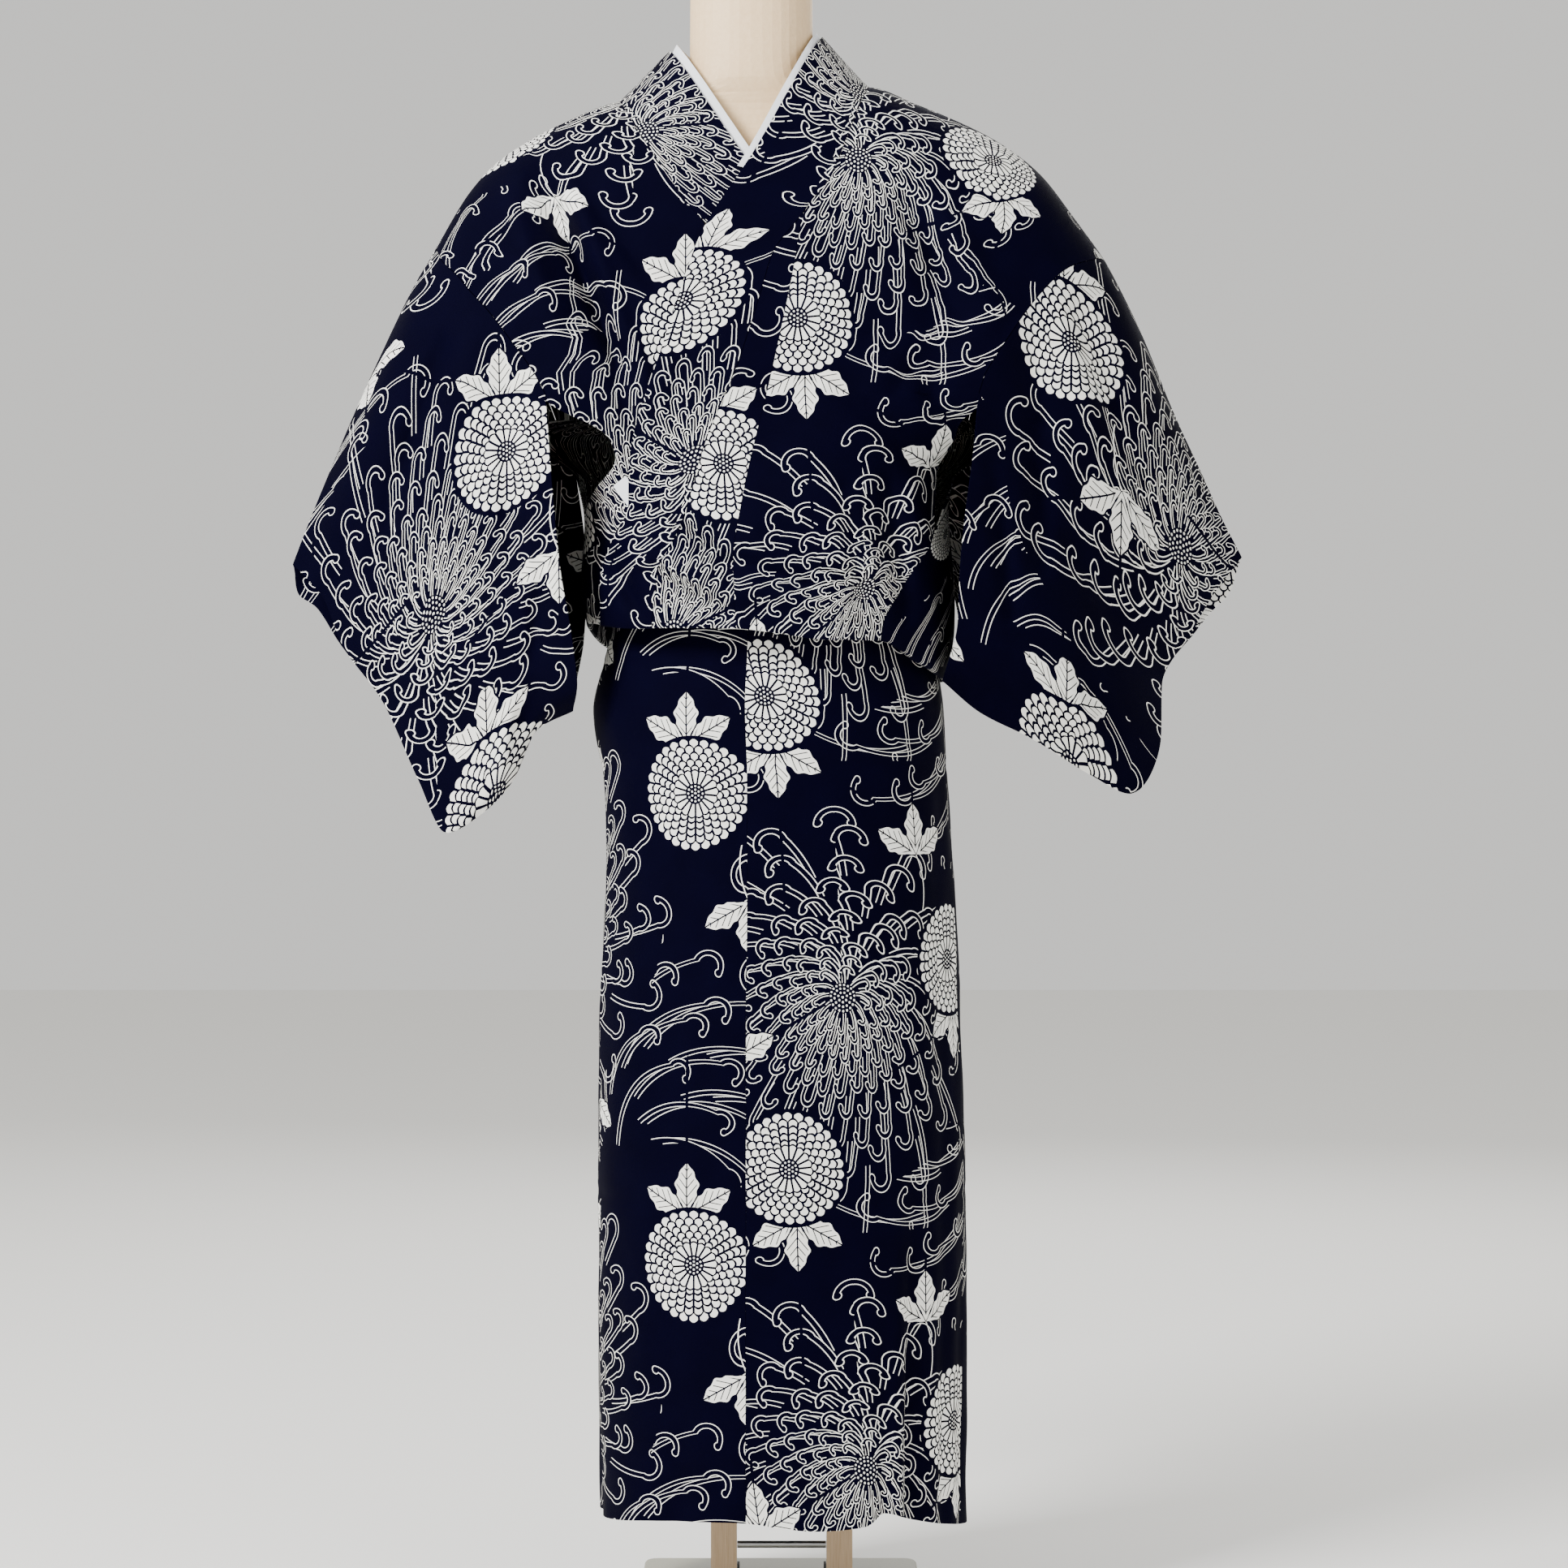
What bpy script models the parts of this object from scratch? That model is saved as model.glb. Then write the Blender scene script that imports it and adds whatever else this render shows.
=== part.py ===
"""A cotton yukata worn left front over right, on a limbless dress form with a plate stand.

Metres, +Z up, front towards -Y, so the wearer's left side is at +X. The origin is on the floor, at
the middle of the stand's underside. Every piece of cloth is a thin wall along a middle surface of
its own, and all the surfaces are read from three shapes: the skirt's wrap, the blouse with its
shoulders, and the two sleeve bags.
"""

import math

import bpy
import numpy as np

# ------------------------------------------------------------------ driving sizes, metres and degrees
WALL = 0.0016  # one layer of cotton
BAND_WALL = 0.0024  # the collar, folded double
WHITE_WALL = 0.0010  # the white half collar inside it
ARM_SEAM = 0.00045  # the same at an armhole, where two panels meet at an angle
SEAM = 0.00022  # each panel stops this far short of a seam line
LAP = 0.006  # the left front lies this far outside the right one
WRAP_RISE = 0.003  # the skirt's wrap moves out this much in a full turn

LEAN = 0.061  # sideways lean of the form above its waist, metres per metre
LEAN_FROM_Z = 0.83
SKIRT_TOP_Z = 0.936
TUCK_Z = 0.906  # top of the stretch that is folded up behind the blouse
ARM_Z = 1.020  # lowest point of the armholes
LIP = 0.0015  # radius of the blouse's lower fold
SQUARE = 2.3  # exponent of the rounded sections: 2 is an ellipse
RIDGE_Y = 0.010  # the shoulder line
NECK_START = 0.40  # the collar leaves the chest here and turns up round the neck
CUFF_PART = 0.60  # where a sleeve's outer edge turns from the cuff side to the bottom
TIE_WIDTH = 0.013
TIE_OUT = 0.0018  # the tie's middle lies this far outside the right front's
TIE_LINE = ((-0.104, 0.911), (-0.112, 0.921), (-0.119, 0.931), (-0.126, 0.940), (-0.132, 0.949))
HALF_COLLAR_IN = 0.0030  # the half collar's middle lies this far inside the collar's
REST = 0.0026  # the shoulders' smooth line above the form; facets bring the cloth down to it
NECK_SEAM = 0.0010  # the gap at the neck hole, where the collar stands up from the shoulders
NECK_EASE = 0.006  # and how much lower the panels end there, as a part of the way up
NECK_LEVEL = 0.66  # how far up the back the neck hole starts, 0 armhole line to 1 shoulder line

PLATE = (0.240, 0.280, 0.012)
PLATE_CORNER = 0.012
POST = (0.022, 0.014)
POST_X = (-0.048, 0.050)
ROD_Z = 0.054
ROD_R = 0.003
FORM_BASE_Z = 0.690
FORM_SPLIT_Z = 1.160
GAP = 0.0003  # between touching hard pieces


def table(columns, *rows):
    """A table with named columns, as {column: its values}."""
    return dict(zip(columns.split(), np.array(rows, float).T))


SKIRT = table(
    "z left right front back",
    (0.070, 0.1525, 0.1545, 0.1260, 0.1290),
    (0.180, 0.1530, 0.1545, 0.1260, 0.1290),
    (0.360, 0.1530, 0.1545, 0.1250, 0.1285),
    (0.500, 0.1520, 0.1495, 0.1240, 0.1280),
    (0.620, 0.1460, 0.1440, 0.1230, 0.1290),
    (0.700, 0.1475, 0.1385, 0.1220, 0.1300),
    (0.765, 0.1570, 0.1350, 0.1200, 0.1310),
    (0.800, 0.1490, 0.1310, 0.1180, 0.1280),
    (0.850, 0.1360, 0.1270, 0.1150, 0.1200),
    (0.905, 0.1270, 0.1250, 0.1110, 0.1130),
    (0.920, 0.1250, 0.1240, 0.1100, 0.1110),
    (0.940, 0.1260, 0.1250, 0.1110, 0.1120),
)
BLOUSE = table(
    "z left right front back",
    (0.770, 0.158, 0.134, 0.139, 0.140),
    (0.800, 0.161, 0.137, 0.141, 0.142),
    (0.830, 0.163, 0.141, 0.142, 0.143),
    (0.865, 0.166, 0.143, 0.143, 0.143),
    (0.925, 0.160, 0.142, 0.134, 0.135),
    (0.960, 0.168, 0.149, 0.127, 0.127),
    (0.985, 0.210, 0.198, 0.122, 0.121),
    (1.020, 0.340, 0.340, 0.118, 0.116),
    (1.060, 0.340, 0.340, 0.118, 0.116),
)
RIDGE = table(
    "x z",
    (-0.421, 0.890),
    (-0.397, 0.946),
    (-0.348, 1.053),
    (-0.314, 1.119),
    (-0.295, 1.149),
    (-0.261, 1.205),
    (-0.237, 1.230),
    (-0.188, 1.259),
    (-0.137, 1.279),
    (-0.030, 1.292),
    (0.075, 1.291),
    (0.114, 1.277),
    (0.161, 1.257),
    (0.190, 1.241),
    (0.219, 1.218),
    (0.248, 1.181),
    (0.277, 1.140),
    (0.304, 1.092),
    (0.337, 1.016),
    (0.362, 0.965),
    (0.380, 0.928),
    (0.398, 0.896),
)
HEM = table(
    "angle z",
    (-180, 0.080),
    (-90, 0.085),
    (-60, 0.090),
    (-38, 0.096),
    (-12, 0.099),
    (8, 0.092),
    (22, 0.095),
    (29, 0.104),
    (35, 0.101),
    (48, 0.092),
    (62, 0.085),
    (90, 0.076),
    (180, 0.080),
)
BLOUSE_EDGE = table(
    "angle z",
    (-180, 0.800),
    (-120, 0.815),
    (-80, 0.835),
    (-45, 0.828),
    (-10, 0.826),
    (12, 0.817),
    (30, 0.817),
    (50, 0.800),
    (80, 0.787),
    (130, 0.790),
    (180, 0.800),
)

# The seam lines on the front, seen from the front. Left is the wearer's left, which laps over.
SEAM_LEFT = table(  # collar seam down to the overlap's point, then the overlap's own seam
    "z x",
    (1.291, 0.075),
    (1.238, 0.056),
    (1.196, 0.040),
    (1.179, 0.026),
    (1.167, 0.019),
    (1.117, 0.010),
    (1.041, -0.006),
    (0.931, -0.031),
    (0.880, -0.038),
    (0.800, -0.034),
)
SEAM_RIGHT = table(
    "z x",
    (1.279, -0.137),
    (1.242, -0.118),
    (1.202, -0.093),
    (1.173, -0.073),
    (1.160, -0.062),
    (1.117, -0.050),
    (1.041, -0.034),
    (1.000, -0.028),
    (0.965, -0.050),
    (0.940, -0.092),
    (0.920, -0.112),
    (0.800, -0.114),
)
COLLAR_LEFT = table(
    "z seam free",
    (1.179, 0.0257, -0.050),
    (1.167, 0.0180, -0.059),
    (1.133, -0.007, -0.073),
    (1.112, -0.013, -0.079),
    (1.042, -0.035, -0.101),
    (0.981, -0.060, -0.121),
    (0.955, -0.068, -0.124),
    (0.928, -0.075, -0.124),
    (0.900, -0.086, -0.138),
    (0.871, -0.100, -0.148),
    (0.810, -0.106, -0.148),
)
COLLAR_RIGHT = table(
    "z seam free",
    (1.167, -0.0675, 0.008),
    (1.133, -0.036, 0.030),
    (1.112, -0.027, 0.039),
    (1.042, -0.005, 0.061),
    (0.985, 0.019, 0.083),
    (0.930, 0.035, 0.096),
)
NECK_LEFT = table(  # the collar's free edge, beside each level of its seam on the front
    "level x y z",
    (1.00, 0.037, 0.004, 1.337),
    (0.84, 0.032, -0.024, 1.327),
    (0.70, 0.021, -0.048, 1.306),
    (0.58, 0.006, -0.068, 1.275),
    (0.48, -0.010, -0.084, 1.243),
    (0.40, -0.026, -0.096, 1.211),
)
NECK_RIGHT = table(
    "level x y z",
    (1.00, -0.096, 0.004, 1.326),
    (0.84, -0.088, -0.024, 1.313),
    (0.70, -0.076, -0.046, 1.293),
    (0.58, -0.060, -0.064, 1.266),
    (0.48, -0.043, -0.078, 1.239),
    (0.40, -0.026, -0.090, 1.211),
)
NAPE_EDGE = table(  # the collar's free edge round the back, from the wearer's left to the right
    "part x y z",
    (0.00, 0.037, 0.004, 1.337),
    (0.25, 0.018, 0.052, 1.322),
    (0.50, -0.026, 0.079, 1.308),
    (0.75, -0.074, 0.050, 1.315),
    (1.00, -0.096, 0.004, 1.326),
)

ARMHOLE_LEFT = table(
    "level x",
    (0.0, 0.160),
    (0.128, 0.192),
    (0.324, 0.229),
    (0.60, 0.262),
    (1.0, 0.281),
)
ARMHOLE_RIGHT = table(
    "level x",
    (0.0, -0.193),
    (0.133, -0.229),
    (0.30, -0.261),
    (0.55, -0.283),
    (1.0, -0.295),
)
SIDE_LEFT = table(  # where the front and the back panel end round the body
    "z front back",
    (1.020, 27, 152),
    (1.000, 33, 150),
    (0.985, 46, 147),
    (0.962, 60, 132),
    (0.940, 63, 100),
    (0.918, 62, 66),
    (0.905, 60, 60),
    (0.863, 41, 41),
    (0.824, 31, 31),
    (0.770, 31, 31),
)
SIDE_RIGHT = table(
    "z front back",
    (1.020, -29, -150),
    (0.999, -32, -148),
    (0.982, -37, -144),
    (0.958, -50, -126),
    (0.937, -70, -96),
    (0.922, -80, -80),
    (0.770, -80, -80),
)

# Folds: a row is a soft trough (depth over 0) or ridge along the line from a to b, in metres.
FRONT_FOLDS = table(
    "xa za xb zb width depth",
    (-0.194, 1.193, -0.160, 1.095, 0.016, 0.011),
    (-0.160, 1.095, -0.130, 1.040, 0.014, 0.013),
    (-0.150, 1.215, -0.125, 1.120, 0.020, -0.005),
    (0.100, 1.020, 0.150, 0.985, 0.018, 0.007),
    (0.120, 1.150, 0.130, 1.040, 0.018, 0.007),
    (-0.090, 0.905, -0.036, 0.868, 0.009, 0.006),
    (-0.096, 0.880, -0.034, 0.848, 0.008, -0.004),
    (-0.096, 0.860, -0.036, 0.832, 0.008, 0.006),
    (0.010, 0.865, 0.080, 0.850, 0.011, 0.004),
    (0.075, 0.920, 0.100, 0.850, 0.012, 0.007),
    (-0.146, 0.930, -0.150, 0.850, 0.010, 0.004),
)
BACK_FOLDS = table(
    "xa za xb zb width depth",
    (-0.190, 1.180, -0.135, 1.050, 0.018, 0.010),
    (0.175, 1.190, 0.125, 1.050, 0.018, 0.009),
    (-0.100, 0.920, -0.040, 0.850, 0.013, 0.006),
    (0.095, 0.930, 0.030, 0.845, 0.012, 0.005),
    (0.030, 0.990, 0.090, 0.960, 0.014, 0.004),
)
SKIRT_FOLDS = table(  # upright folds: angle round the body, height range, width in degrees, depth
    "angle top bottom width depth",
    (44, 0.420, 0.050, 7, 0.013),
    (24, 0.300, 0.050, 11, -0.006),
    (-20, 0.260, 0.050, 14, -0.002),
    (62, 0.760, 0.500, 9, 0.003),
    (-100, 0.600, 0.050, 12, 0.005),
    (128, 0.700, 0.050, 11, 0.006),
    (160, 0.520, 0.050, 12, -0.005),
    (-150, 0.640, 0.050, 13, 0.007),
)


# ------------------------------------------------------------------ curves and surfaces
def smooth(knots, values, at):
    """The smooth curve through rising or falling knots that never overshoots its values."""
    knots, values = np.asarray(knots, float), np.asarray(values, float)
    if knots[0] > knots[-1]:
        knots, values = knots[::-1], values[::-1]
    at = np.clip(at, knots[0], knots[-1])
    step = np.diff(knots)
    rate = np.diff(values) / step
    slope = np.empty(len(knots))
    slope[0], slope[-1] = rate[0], rate[-1]
    same = rate[:-1] * rate[1:] > 0
    slope[1:-1] = np.where(same, 2 * rate[:-1] * rate[1:] / np.where(same, rate[:-1] + rate[1:], 1), 0)
    place = np.clip(np.searchsorted(knots, at) - 1, 0, len(step) - 1)
    part = (at - knots[place]) / step[place]
    start = values[place] + step[place] * slope[place] * part * (1 - part) ** 2
    change = values[place + 1] - values[place]
    end = step[place] * slope[place + 1] * part**2 * (part - 1)
    return start + change * part**2 * (3 - 2 * part) + end


def read(rows, key, column, at):
    return smooth(rows[key], rows[column], at)


def axis_x(z):
    """Middle of the body at a height: the form leans to the wearer's right above the waist."""
    return -LEAN * np.maximum(0, z - LEAN_FROM_Z)


def section(rows, angle, z, out):
    """(x, y) on a rounded section. Angle 0 is the front and +90 is the wearer's left."""
    turn = np.radians(angle)
    sine, cosine = np.sin(turn), np.cos(turn)
    across = np.sign(sine) * abs(sine) ** (2 / SQUARE)
    ahead = np.sign(cosine) * abs(cosine) ** (2 / SQUARE)
    half = np.where(sine < 0, read(rows, "z", "left", z), read(rows, "z", "right", z)) + out
    depth = np.where(cosine > 0, read(rows, "z", "front", z), read(rows, "z", "back", z)) + out
    return axis_x(z) + half * across, -depth * ahead


def angle_at(rows, x, z, out):
    """The angle on the front half of a section where it has this x."""
    offset = x - axis_x(z)
    half = (read(rows, "z", "left", z) if offset < 0 else read(rows, "z", "right", z)) + out
    return math.copysign(math.degrees(math.asin(min(1, abs(offset) / half) ** (SQUARE / 2))), offset)


def fold_depth(folds, x, z):
    """How far the folds press in at (x, z)."""
    total = np.zeros(np.broadcast(x, z).shape)
    for xa, za, xb, zb, width, depth in zip(*folds.values()):
        run = np.array([xb - xa, zb - za])
        part = np.clip(((x - xa) * run[0] + (z - za) * run[1]) / (run @ run), 0, 1)
        away = np.hypot(x - xa - part * run[0], z - za - part * run[1])
        total += depth * np.exp(-((away / width) ** 2)) * (0.55 + 0.45 * np.sin(np.pi * part))
    return total


def blouse(angle, level, out):
    """Blouse and shoulders. Level is metres below the armhole line, or 0 to 1 up to the shoulders."""
    angle, level = np.broadcast_arrays(np.asarray(angle, float), np.asarray(level, float))
    base_z = ARM_Z + np.minimum(level, 0)
    x, y = section(BLOUSE, angle, base_z, out)
    climb = np.radians(90 * np.clip(level, 0, 1))
    top = read(RIDGE, "x", "z", x)
    z = base_z + np.where(level > 0, (top - ARM_Z) * np.sin(climb) ** (2 / SQUARE), 0)
    y = RIDGE_Y + (y - RIDGE_Y) * np.cos(climb) ** (2 / SQUARE)
    facing = np.clip(abs(np.cos(np.radians(angle))) * 3, 0, 1) * np.cos(climb)
    press = np.where(abs(angle) < 90, fold_depth(FRONT_FOLDS, x, z), fold_depth(BACK_FOLDS, x, z))
    y = y + np.where(abs(angle) < 90, 1, -1) * press * facing
    return np.stack([x, y, z], -1)


def skirt(turn, z, part_of_wrap):
    """The skirt's wrap. Turn 0 is the front; it runs on past the back, to -432 at the outer edge."""
    out = WRAP_RISE * part_of_wrap
    x, y = section(SKIRT, turn, z, out)
    wrapped = (turn + 180) % 360 - 180
    press = 0
    for angle, top, bottom, width, depth in zip(*SKIRT_FOLDS.values()):
        away = (wrapped - angle + 180) % 360 - 180
        grown = np.clip((top - z) / (top - bottom), 0, 1)
        press = press + depth * grown**1.3 * np.exp(-((away / width) ** 2))
    centre = axis_x(z)
    reach = np.hypot(x - centre, y)
    shrink = 1 - press / reach
    return np.stack([centre + (x - centre) * shrink, y * shrink, z + 0 * x], -1)


# ------------------------------------------------------------------ solids
def paint(obj, colour, roughness, metallic=0.0):
    material = bpy.data.materials.new(obj.name)
    material.use_nodes = True
    shader = material.node_tree.nodes["Principled BSDF"]
    shader.inputs["Base Color"].default_value = (*colour, 1)
    shader.inputs["Roughness"].default_value = roughness
    shader.inputs["Metallic"].default_value = metallic
    obj.data.materials.append(material)


NAVY = (0.009, 0.012, 0.050)
WHITE = (0.80, 0.82, 0.86)
CREAM = (0.78, 0.66, 0.50)
BLACK = (0.012, 0.012, 0.014)


def add(name, points, faces, colour, roughness=0.8, metallic=0.0):
    mesh = bpy.data.meshes.new(name)
    mesh.from_pydata(np.asarray(points).tolist(), [], faces)
    mesh.validate()
    mesh.shade_smooth()
    mesh.set_sharp_from_angle(angle=math.radians(40))
    obj = bpy.data.objects.new(name, mesh)
    bpy.context.scene.collection.objects.link(obj)
    paint(obj, colour, roughness, metallic)
    return obj


def triangles(points, quads):
    """Two triangles for each quad, across its shorter diagonal. Triangles pass through."""
    faces = [quad for quad in quads if len(quad) == 3]
    for a, b, c, d in (quad for quad in quads if len(quad) == 4):
        if np.linalg.norm(points[a] - points[c]) <= np.linalg.norm(points[b] - points[d]):
            faces += [(a, b, c), (a, c, d)]
        else:
            faces += [(a, b, d), (b, c, d)]
    return faces


def wall(name, points, quads, thickness, colour=NAVY, roughness=0.8):
    """A closed wall of even thickness on both sides of a sheet of quads."""
    points = np.asarray(points, float)
    faces = triangles(points, quads)
    normals = np.zeros_like(points)
    used = {}
    for face in faces:
        a, b, c = points[list(face)]
        normals[list(face)] += np.cross(b - a, c - a)
        for start, end in zip(face, face[1:] + face[:1]):
            used[start, end] = True
    areas = np.zeros(len(points))
    around, number = np.zeros_like(points), np.zeros(len(points))
    for face in faces:
        a, b, c = points[list(face)]
        areas[list(face)] += np.linalg.norm(np.cross(b - a, c - a))
        around[list(face)] += a + b + c
        number[list(face)] += 3
    outward = points - around / np.maximum(number, 1)[:, None]
    folded = np.linalg.norm(normals, axis=1) < 0.45 * areas
    normals[folded] = outward[folded]
    normals /= np.maximum(np.linalg.norm(normals, axis=1, keepdims=True), 1e-12)
    count = len(points)
    both = np.concatenate([points + normals * thickness / 2, points - normals * thickness / 2])
    solid = list(faces) + [tuple(count + corner for corner in reversed(face)) for face in faces]
    for start, end in used:
        if (end, start) not in used:
            solid += [(end, start, start + count), (end, start + count, end + count)]
    return add(name, both, solid, colour, roughness)


def grid_quads(rows, columns):
    return [
        (i * columns + j, i * columns + j + 1, (i + 1) * columns + j + 1, (i + 1) * columns + j)
        for i in range(rows - 1)
        for j in range(columns - 1)
    ]


def sheet(name, grid, thickness, colour=NAVY, roughness=0.8, turned=False):
    """A wall on a grid of points, rows by columns. Turned flips which side is out."""
    grid = np.asarray(grid)
    grid = grid[:, ::-1] if turned else grid
    rows, columns = grid.shape[:2]
    return wall(name, grid.reshape(-1, 3), grid_quads(rows, columns), thickness, colour, roughness)


def trimmed(grid, first, last):
    """The grid with its first and last columns drawn in from their seam lines."""
    grid = np.array(grid, float)
    for edge, inner, gap in ((0, 1, first), (-1, -2, last)):
        run = grid[:, inner] - grid[:, edge]
        length = np.maximum(np.linalg.norm(run, axis=1, keepdims=True), 1e-9)
        gap = np.broadcast_to(gap, len(grid))[:, None]
        grid[:, edge] += run / length * np.minimum(gap, 0.4 * length)
    return grid


def loft(name, rings, colour, roughness=0.5, metallic=0.0):
    """A closed solid through rings of points, bottom to top, each turning anticlockwise."""
    count = len(rings[0])
    points = np.concatenate(rings)
    faces = []
    for i in range(len(rings) - 1):
        for j in range(count):
            after = (j + 1) % count
            low, high = i * count, (i + 1) * count
            faces.append((low + j, low + after, high + after, high + j))
    faces.append(tuple(range(count))[::-1])
    faces.append(tuple(len(points) - count + j for j in range(count)))
    return add(name, points, faces, colour, roughness, metallic)


# ------------------------------------------------------------------ blouse: panels, overlaps, collar
# A row of the blouse has a key: 0 to 1 up to the shoulders, 0 to -1 down to the lower edge.
RISES = (0.12, 0.24, 0.33, 0.40, 0.48, 0.58, 0.70, 0.84, 1.0)
BACK_RISES = (0.94, 0.87, 0.80, 0.73, 0.68, NECK_LEVEL - NECK_EASE, 0.42, 0.20)
NAPE_RISES = (0.94, 0.87, 0.80, 0.73, 0.68, NECK_LEVEL)
DROPS = (0.0, -0.10, -0.22, -0.34, -0.46, -0.58, -0.70, -0.81, -0.91, -1.0)
LIP_TURNS = (60, 120, 180)


def edge_height(angles):
    return read(BLOUSE_EDGE, "angle", "z", (np.asarray(angles) + 180) % 360 - 180)


def row(angles, key, out):
    """The points of a row of the blouse at these angles."""
    if key > 0:
        return blouse(angles, key, out)
    return blouse(angles, -key * (edge_height(angles) + LIP - ARM_Z), out)


def line_angle(rows, column, key, out, guess=0.0):
    """The angle on a row where it crosses a line that a table gives as x by height."""
    angle = guess
    for _ in range(14):
        z = float(row(np.array([angle]), key, out)[0, 2])
        angle = angle_at(BLOUSE, float(read(rows, "z", column, z)), min(z, ARM_Z), out)
    return angle


def side_angle(rows, column, key, out):
    angle = float(rows[column][0])
    for _ in range(14):
        z = float(row(np.array([angle]), key, out)[0, 2])
        angle = float(read(rows, "z", column, z))
    return angle


def lip_rows(angles, out):
    """The lower edge, turned under."""
    rows = []
    for turn in LIP_TURNS:
        swing = math.radians(turn)
        z = edge_height(angles) + LIP * (1 - math.sin(swing))
        rows.append(blouse(angles, z - ARM_Z, out - LIP * (1 - math.cos(swing))))
    return rows


def tuck_rows(angles, out):
    """The lip, and the stretch folded up behind it to the top of the skirt."""
    rows = lip_rows(angles, out)
    x, y = section(SKIRT, angles, TUCK_Z, 0.0062 + 0.35 * out)
    top = np.stack([x, y, TUCK_Z + 0 * x], -1)
    return rows + [rows[-1] + (top - rows[-1]) * 0.5, top]


def neck_angle(seam, key, out, back_centre, lowest):
    """Where the edge of the neck hole, or the centre back seam below it, lies on a row of the back."""
    if key <= lowest:
        return back_centre
    shoulder = 180 - abs(angle_at(BLOUSE, float(seam["x"][0]), ARM_Z, out))
    part = (1 - key) / (1 - lowest)
    return math.copysign(180 - (180 - shoulder) * math.sqrt(1 - part**2), back_centre)


def armhole_angle(armhole, key, out, back):
    angle = angle_at(BLOUSE, float(read(armhole, "level", "x", key)), ARM_Z, out)
    return math.copysign(180, angle) - angle if back else angle


def lift(angles, out):
    """The left panels come down to the right ones' level at the centre back seam."""
    return out * np.clip((180 - abs(np.asarray(angles))) / 90, 0, 1)


def body_panel(name, seam, armhole, side, out, columns):
    """One width of cloth: front edge to shoulder to back edge, with its half of the neck hole."""
    across = np.linspace(0, 1, columns)
    closing = across / 2 + np.sin(across * math.pi / 2) / 2
    centre = math.copysign(180, side["back"][0])
    grid = []
    holes = []
    for key in DROPS[::-1]:
        inner = line_angle(seam, "x", key, out)
        angles = inner + (side_angle(side, "front", key, out) - inner) * across
        if key == -1:
            grid += tuck_rows(angles, out)[::-1]
        grid.append(row(angles, key, out))
    for key in RISES:
        inner = line_angle(seam, "x", key, out)
        angles = inner + (armhole_angle(armhole, key, out, False) - inner) * across
        holes.append(len(grid))
        grid.append(row(angles, key, out))
    for key in BACK_RISES:
        inner = neck_angle(seam, key, out, centre, NECK_LEVEL - NECK_EASE)
        angles = inner + (armhole_angle(armhole, key, out, True) - inner) * across
        holes.append(len(grid))
        grid.append(row(angles, key, lift(angles, out)))
    for key in DROPS:
        angles = centre + (side_angle(side, "back", key, out) - centre) * closing
        grid.append(row(angles, key, lift(angles, out)))
    grid += tuck_rows(angles, lift(angles, out))
    grid = np.array(grid)
    holes = [holes[0] - 1] + holes + [holes[-1] + 1]
    gaps = np.full(len(grid), SEAM)
    gaps[holes[len(RISES) - 2] : holes[len(RISES) + 5]] = NECK_SEAM * 0.6
    sheet(name, trimmed(grid, gaps, ARM_SEAM), WALL, turned=centre > 0)
    front, back = grid[holes[: len(RISES) + 1], -1], grid[holes[len(RISES) :], -1]
    return front[::-1], back


def strip(name, first, second, keys, out):
    """An overlap: a strip of the front between two lines, each (table, column)."""
    part = np.linspace(0, 1, 4)
    grid = []
    for key in keys:
        start, end = (line_angle(*line, key, out) for line in (first, second))
        angles = start + (end - start) * part
        grid.append(row(angles, key, out))
    if keys[-1] == -1:
        grid += tuck_rows(angles, out)
    sheet(name, trimmed(grid, SEAM, SEAM), WALL, turned=True)


def standing(low, rows, key_column, key):
    """A line of the collar from its seam up to its free edge, where it stands round the neck."""
    high = np.array([float(read(rows, key_column, axis, key)) for axis in "xyz"])
    return low + (high - low) * np.linspace(0, 1, 4)[:, None]


def nape_row(key, seam, out, centre):
    """A line of the collar behind the neck, at the same row of the back as the neck hole's edge."""
    angle = neck_angle(seam, key, out, centre, NECK_LEVEL)
    part = math.asin((1 - key) / (1 - NECK_LEVEL)) / math.pi
    return standing(row(angle, key, lift(angle, out)), NAPE_EDGE, "part", part if centre > 0 else 1 - part)


def front_row(seam, collar_rows, neck, key, out):
    """A line of the collar on the front: standing near the neck, and lying on the chest below."""
    if key >= NECK_START:
        return standing(row(line_angle(seam, "x", key, out), key, out), neck, "level", key)
    start, end = (line_angle(collar_rows, side, key, out) for side in ("seam", "free"))
    return row(start + (end - start) * np.linspace(0, 1, 4), key, out)


def collar_grid():
    """Lines across the collar, from the left front's lower end round the neck to the right's."""
    start, end = (line_angle(COLLAR_LEFT, side, -1, LAP) for side in ("seam", "free"))
    lines = lip_rows(start + (end - start) * np.linspace(0, 1, 4), LAP)[::-1]
    left = list(DROPS[::-1]) + list(RISES)
    lines += [front_row(SEAM_LEFT, COLLAR_LEFT, NECK_LEFT, key, LAP) for key in left]
    lines += [nape_row(key, SEAM_LEFT, LAP, 180) for key in NAPE_RISES]
    lines += [nape_row(key, SEAM_RIGHT, 0.0, -180) for key in NAPE_RISES[-2::-1]]
    right = list(RISES[::-1]) + list(DROPS[:4])
    return np.array(lines + [front_row(SEAM_RIGHT, COLLAR_RIGHT, NECK_RIGHT, key, 0.0) for key in right])


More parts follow.
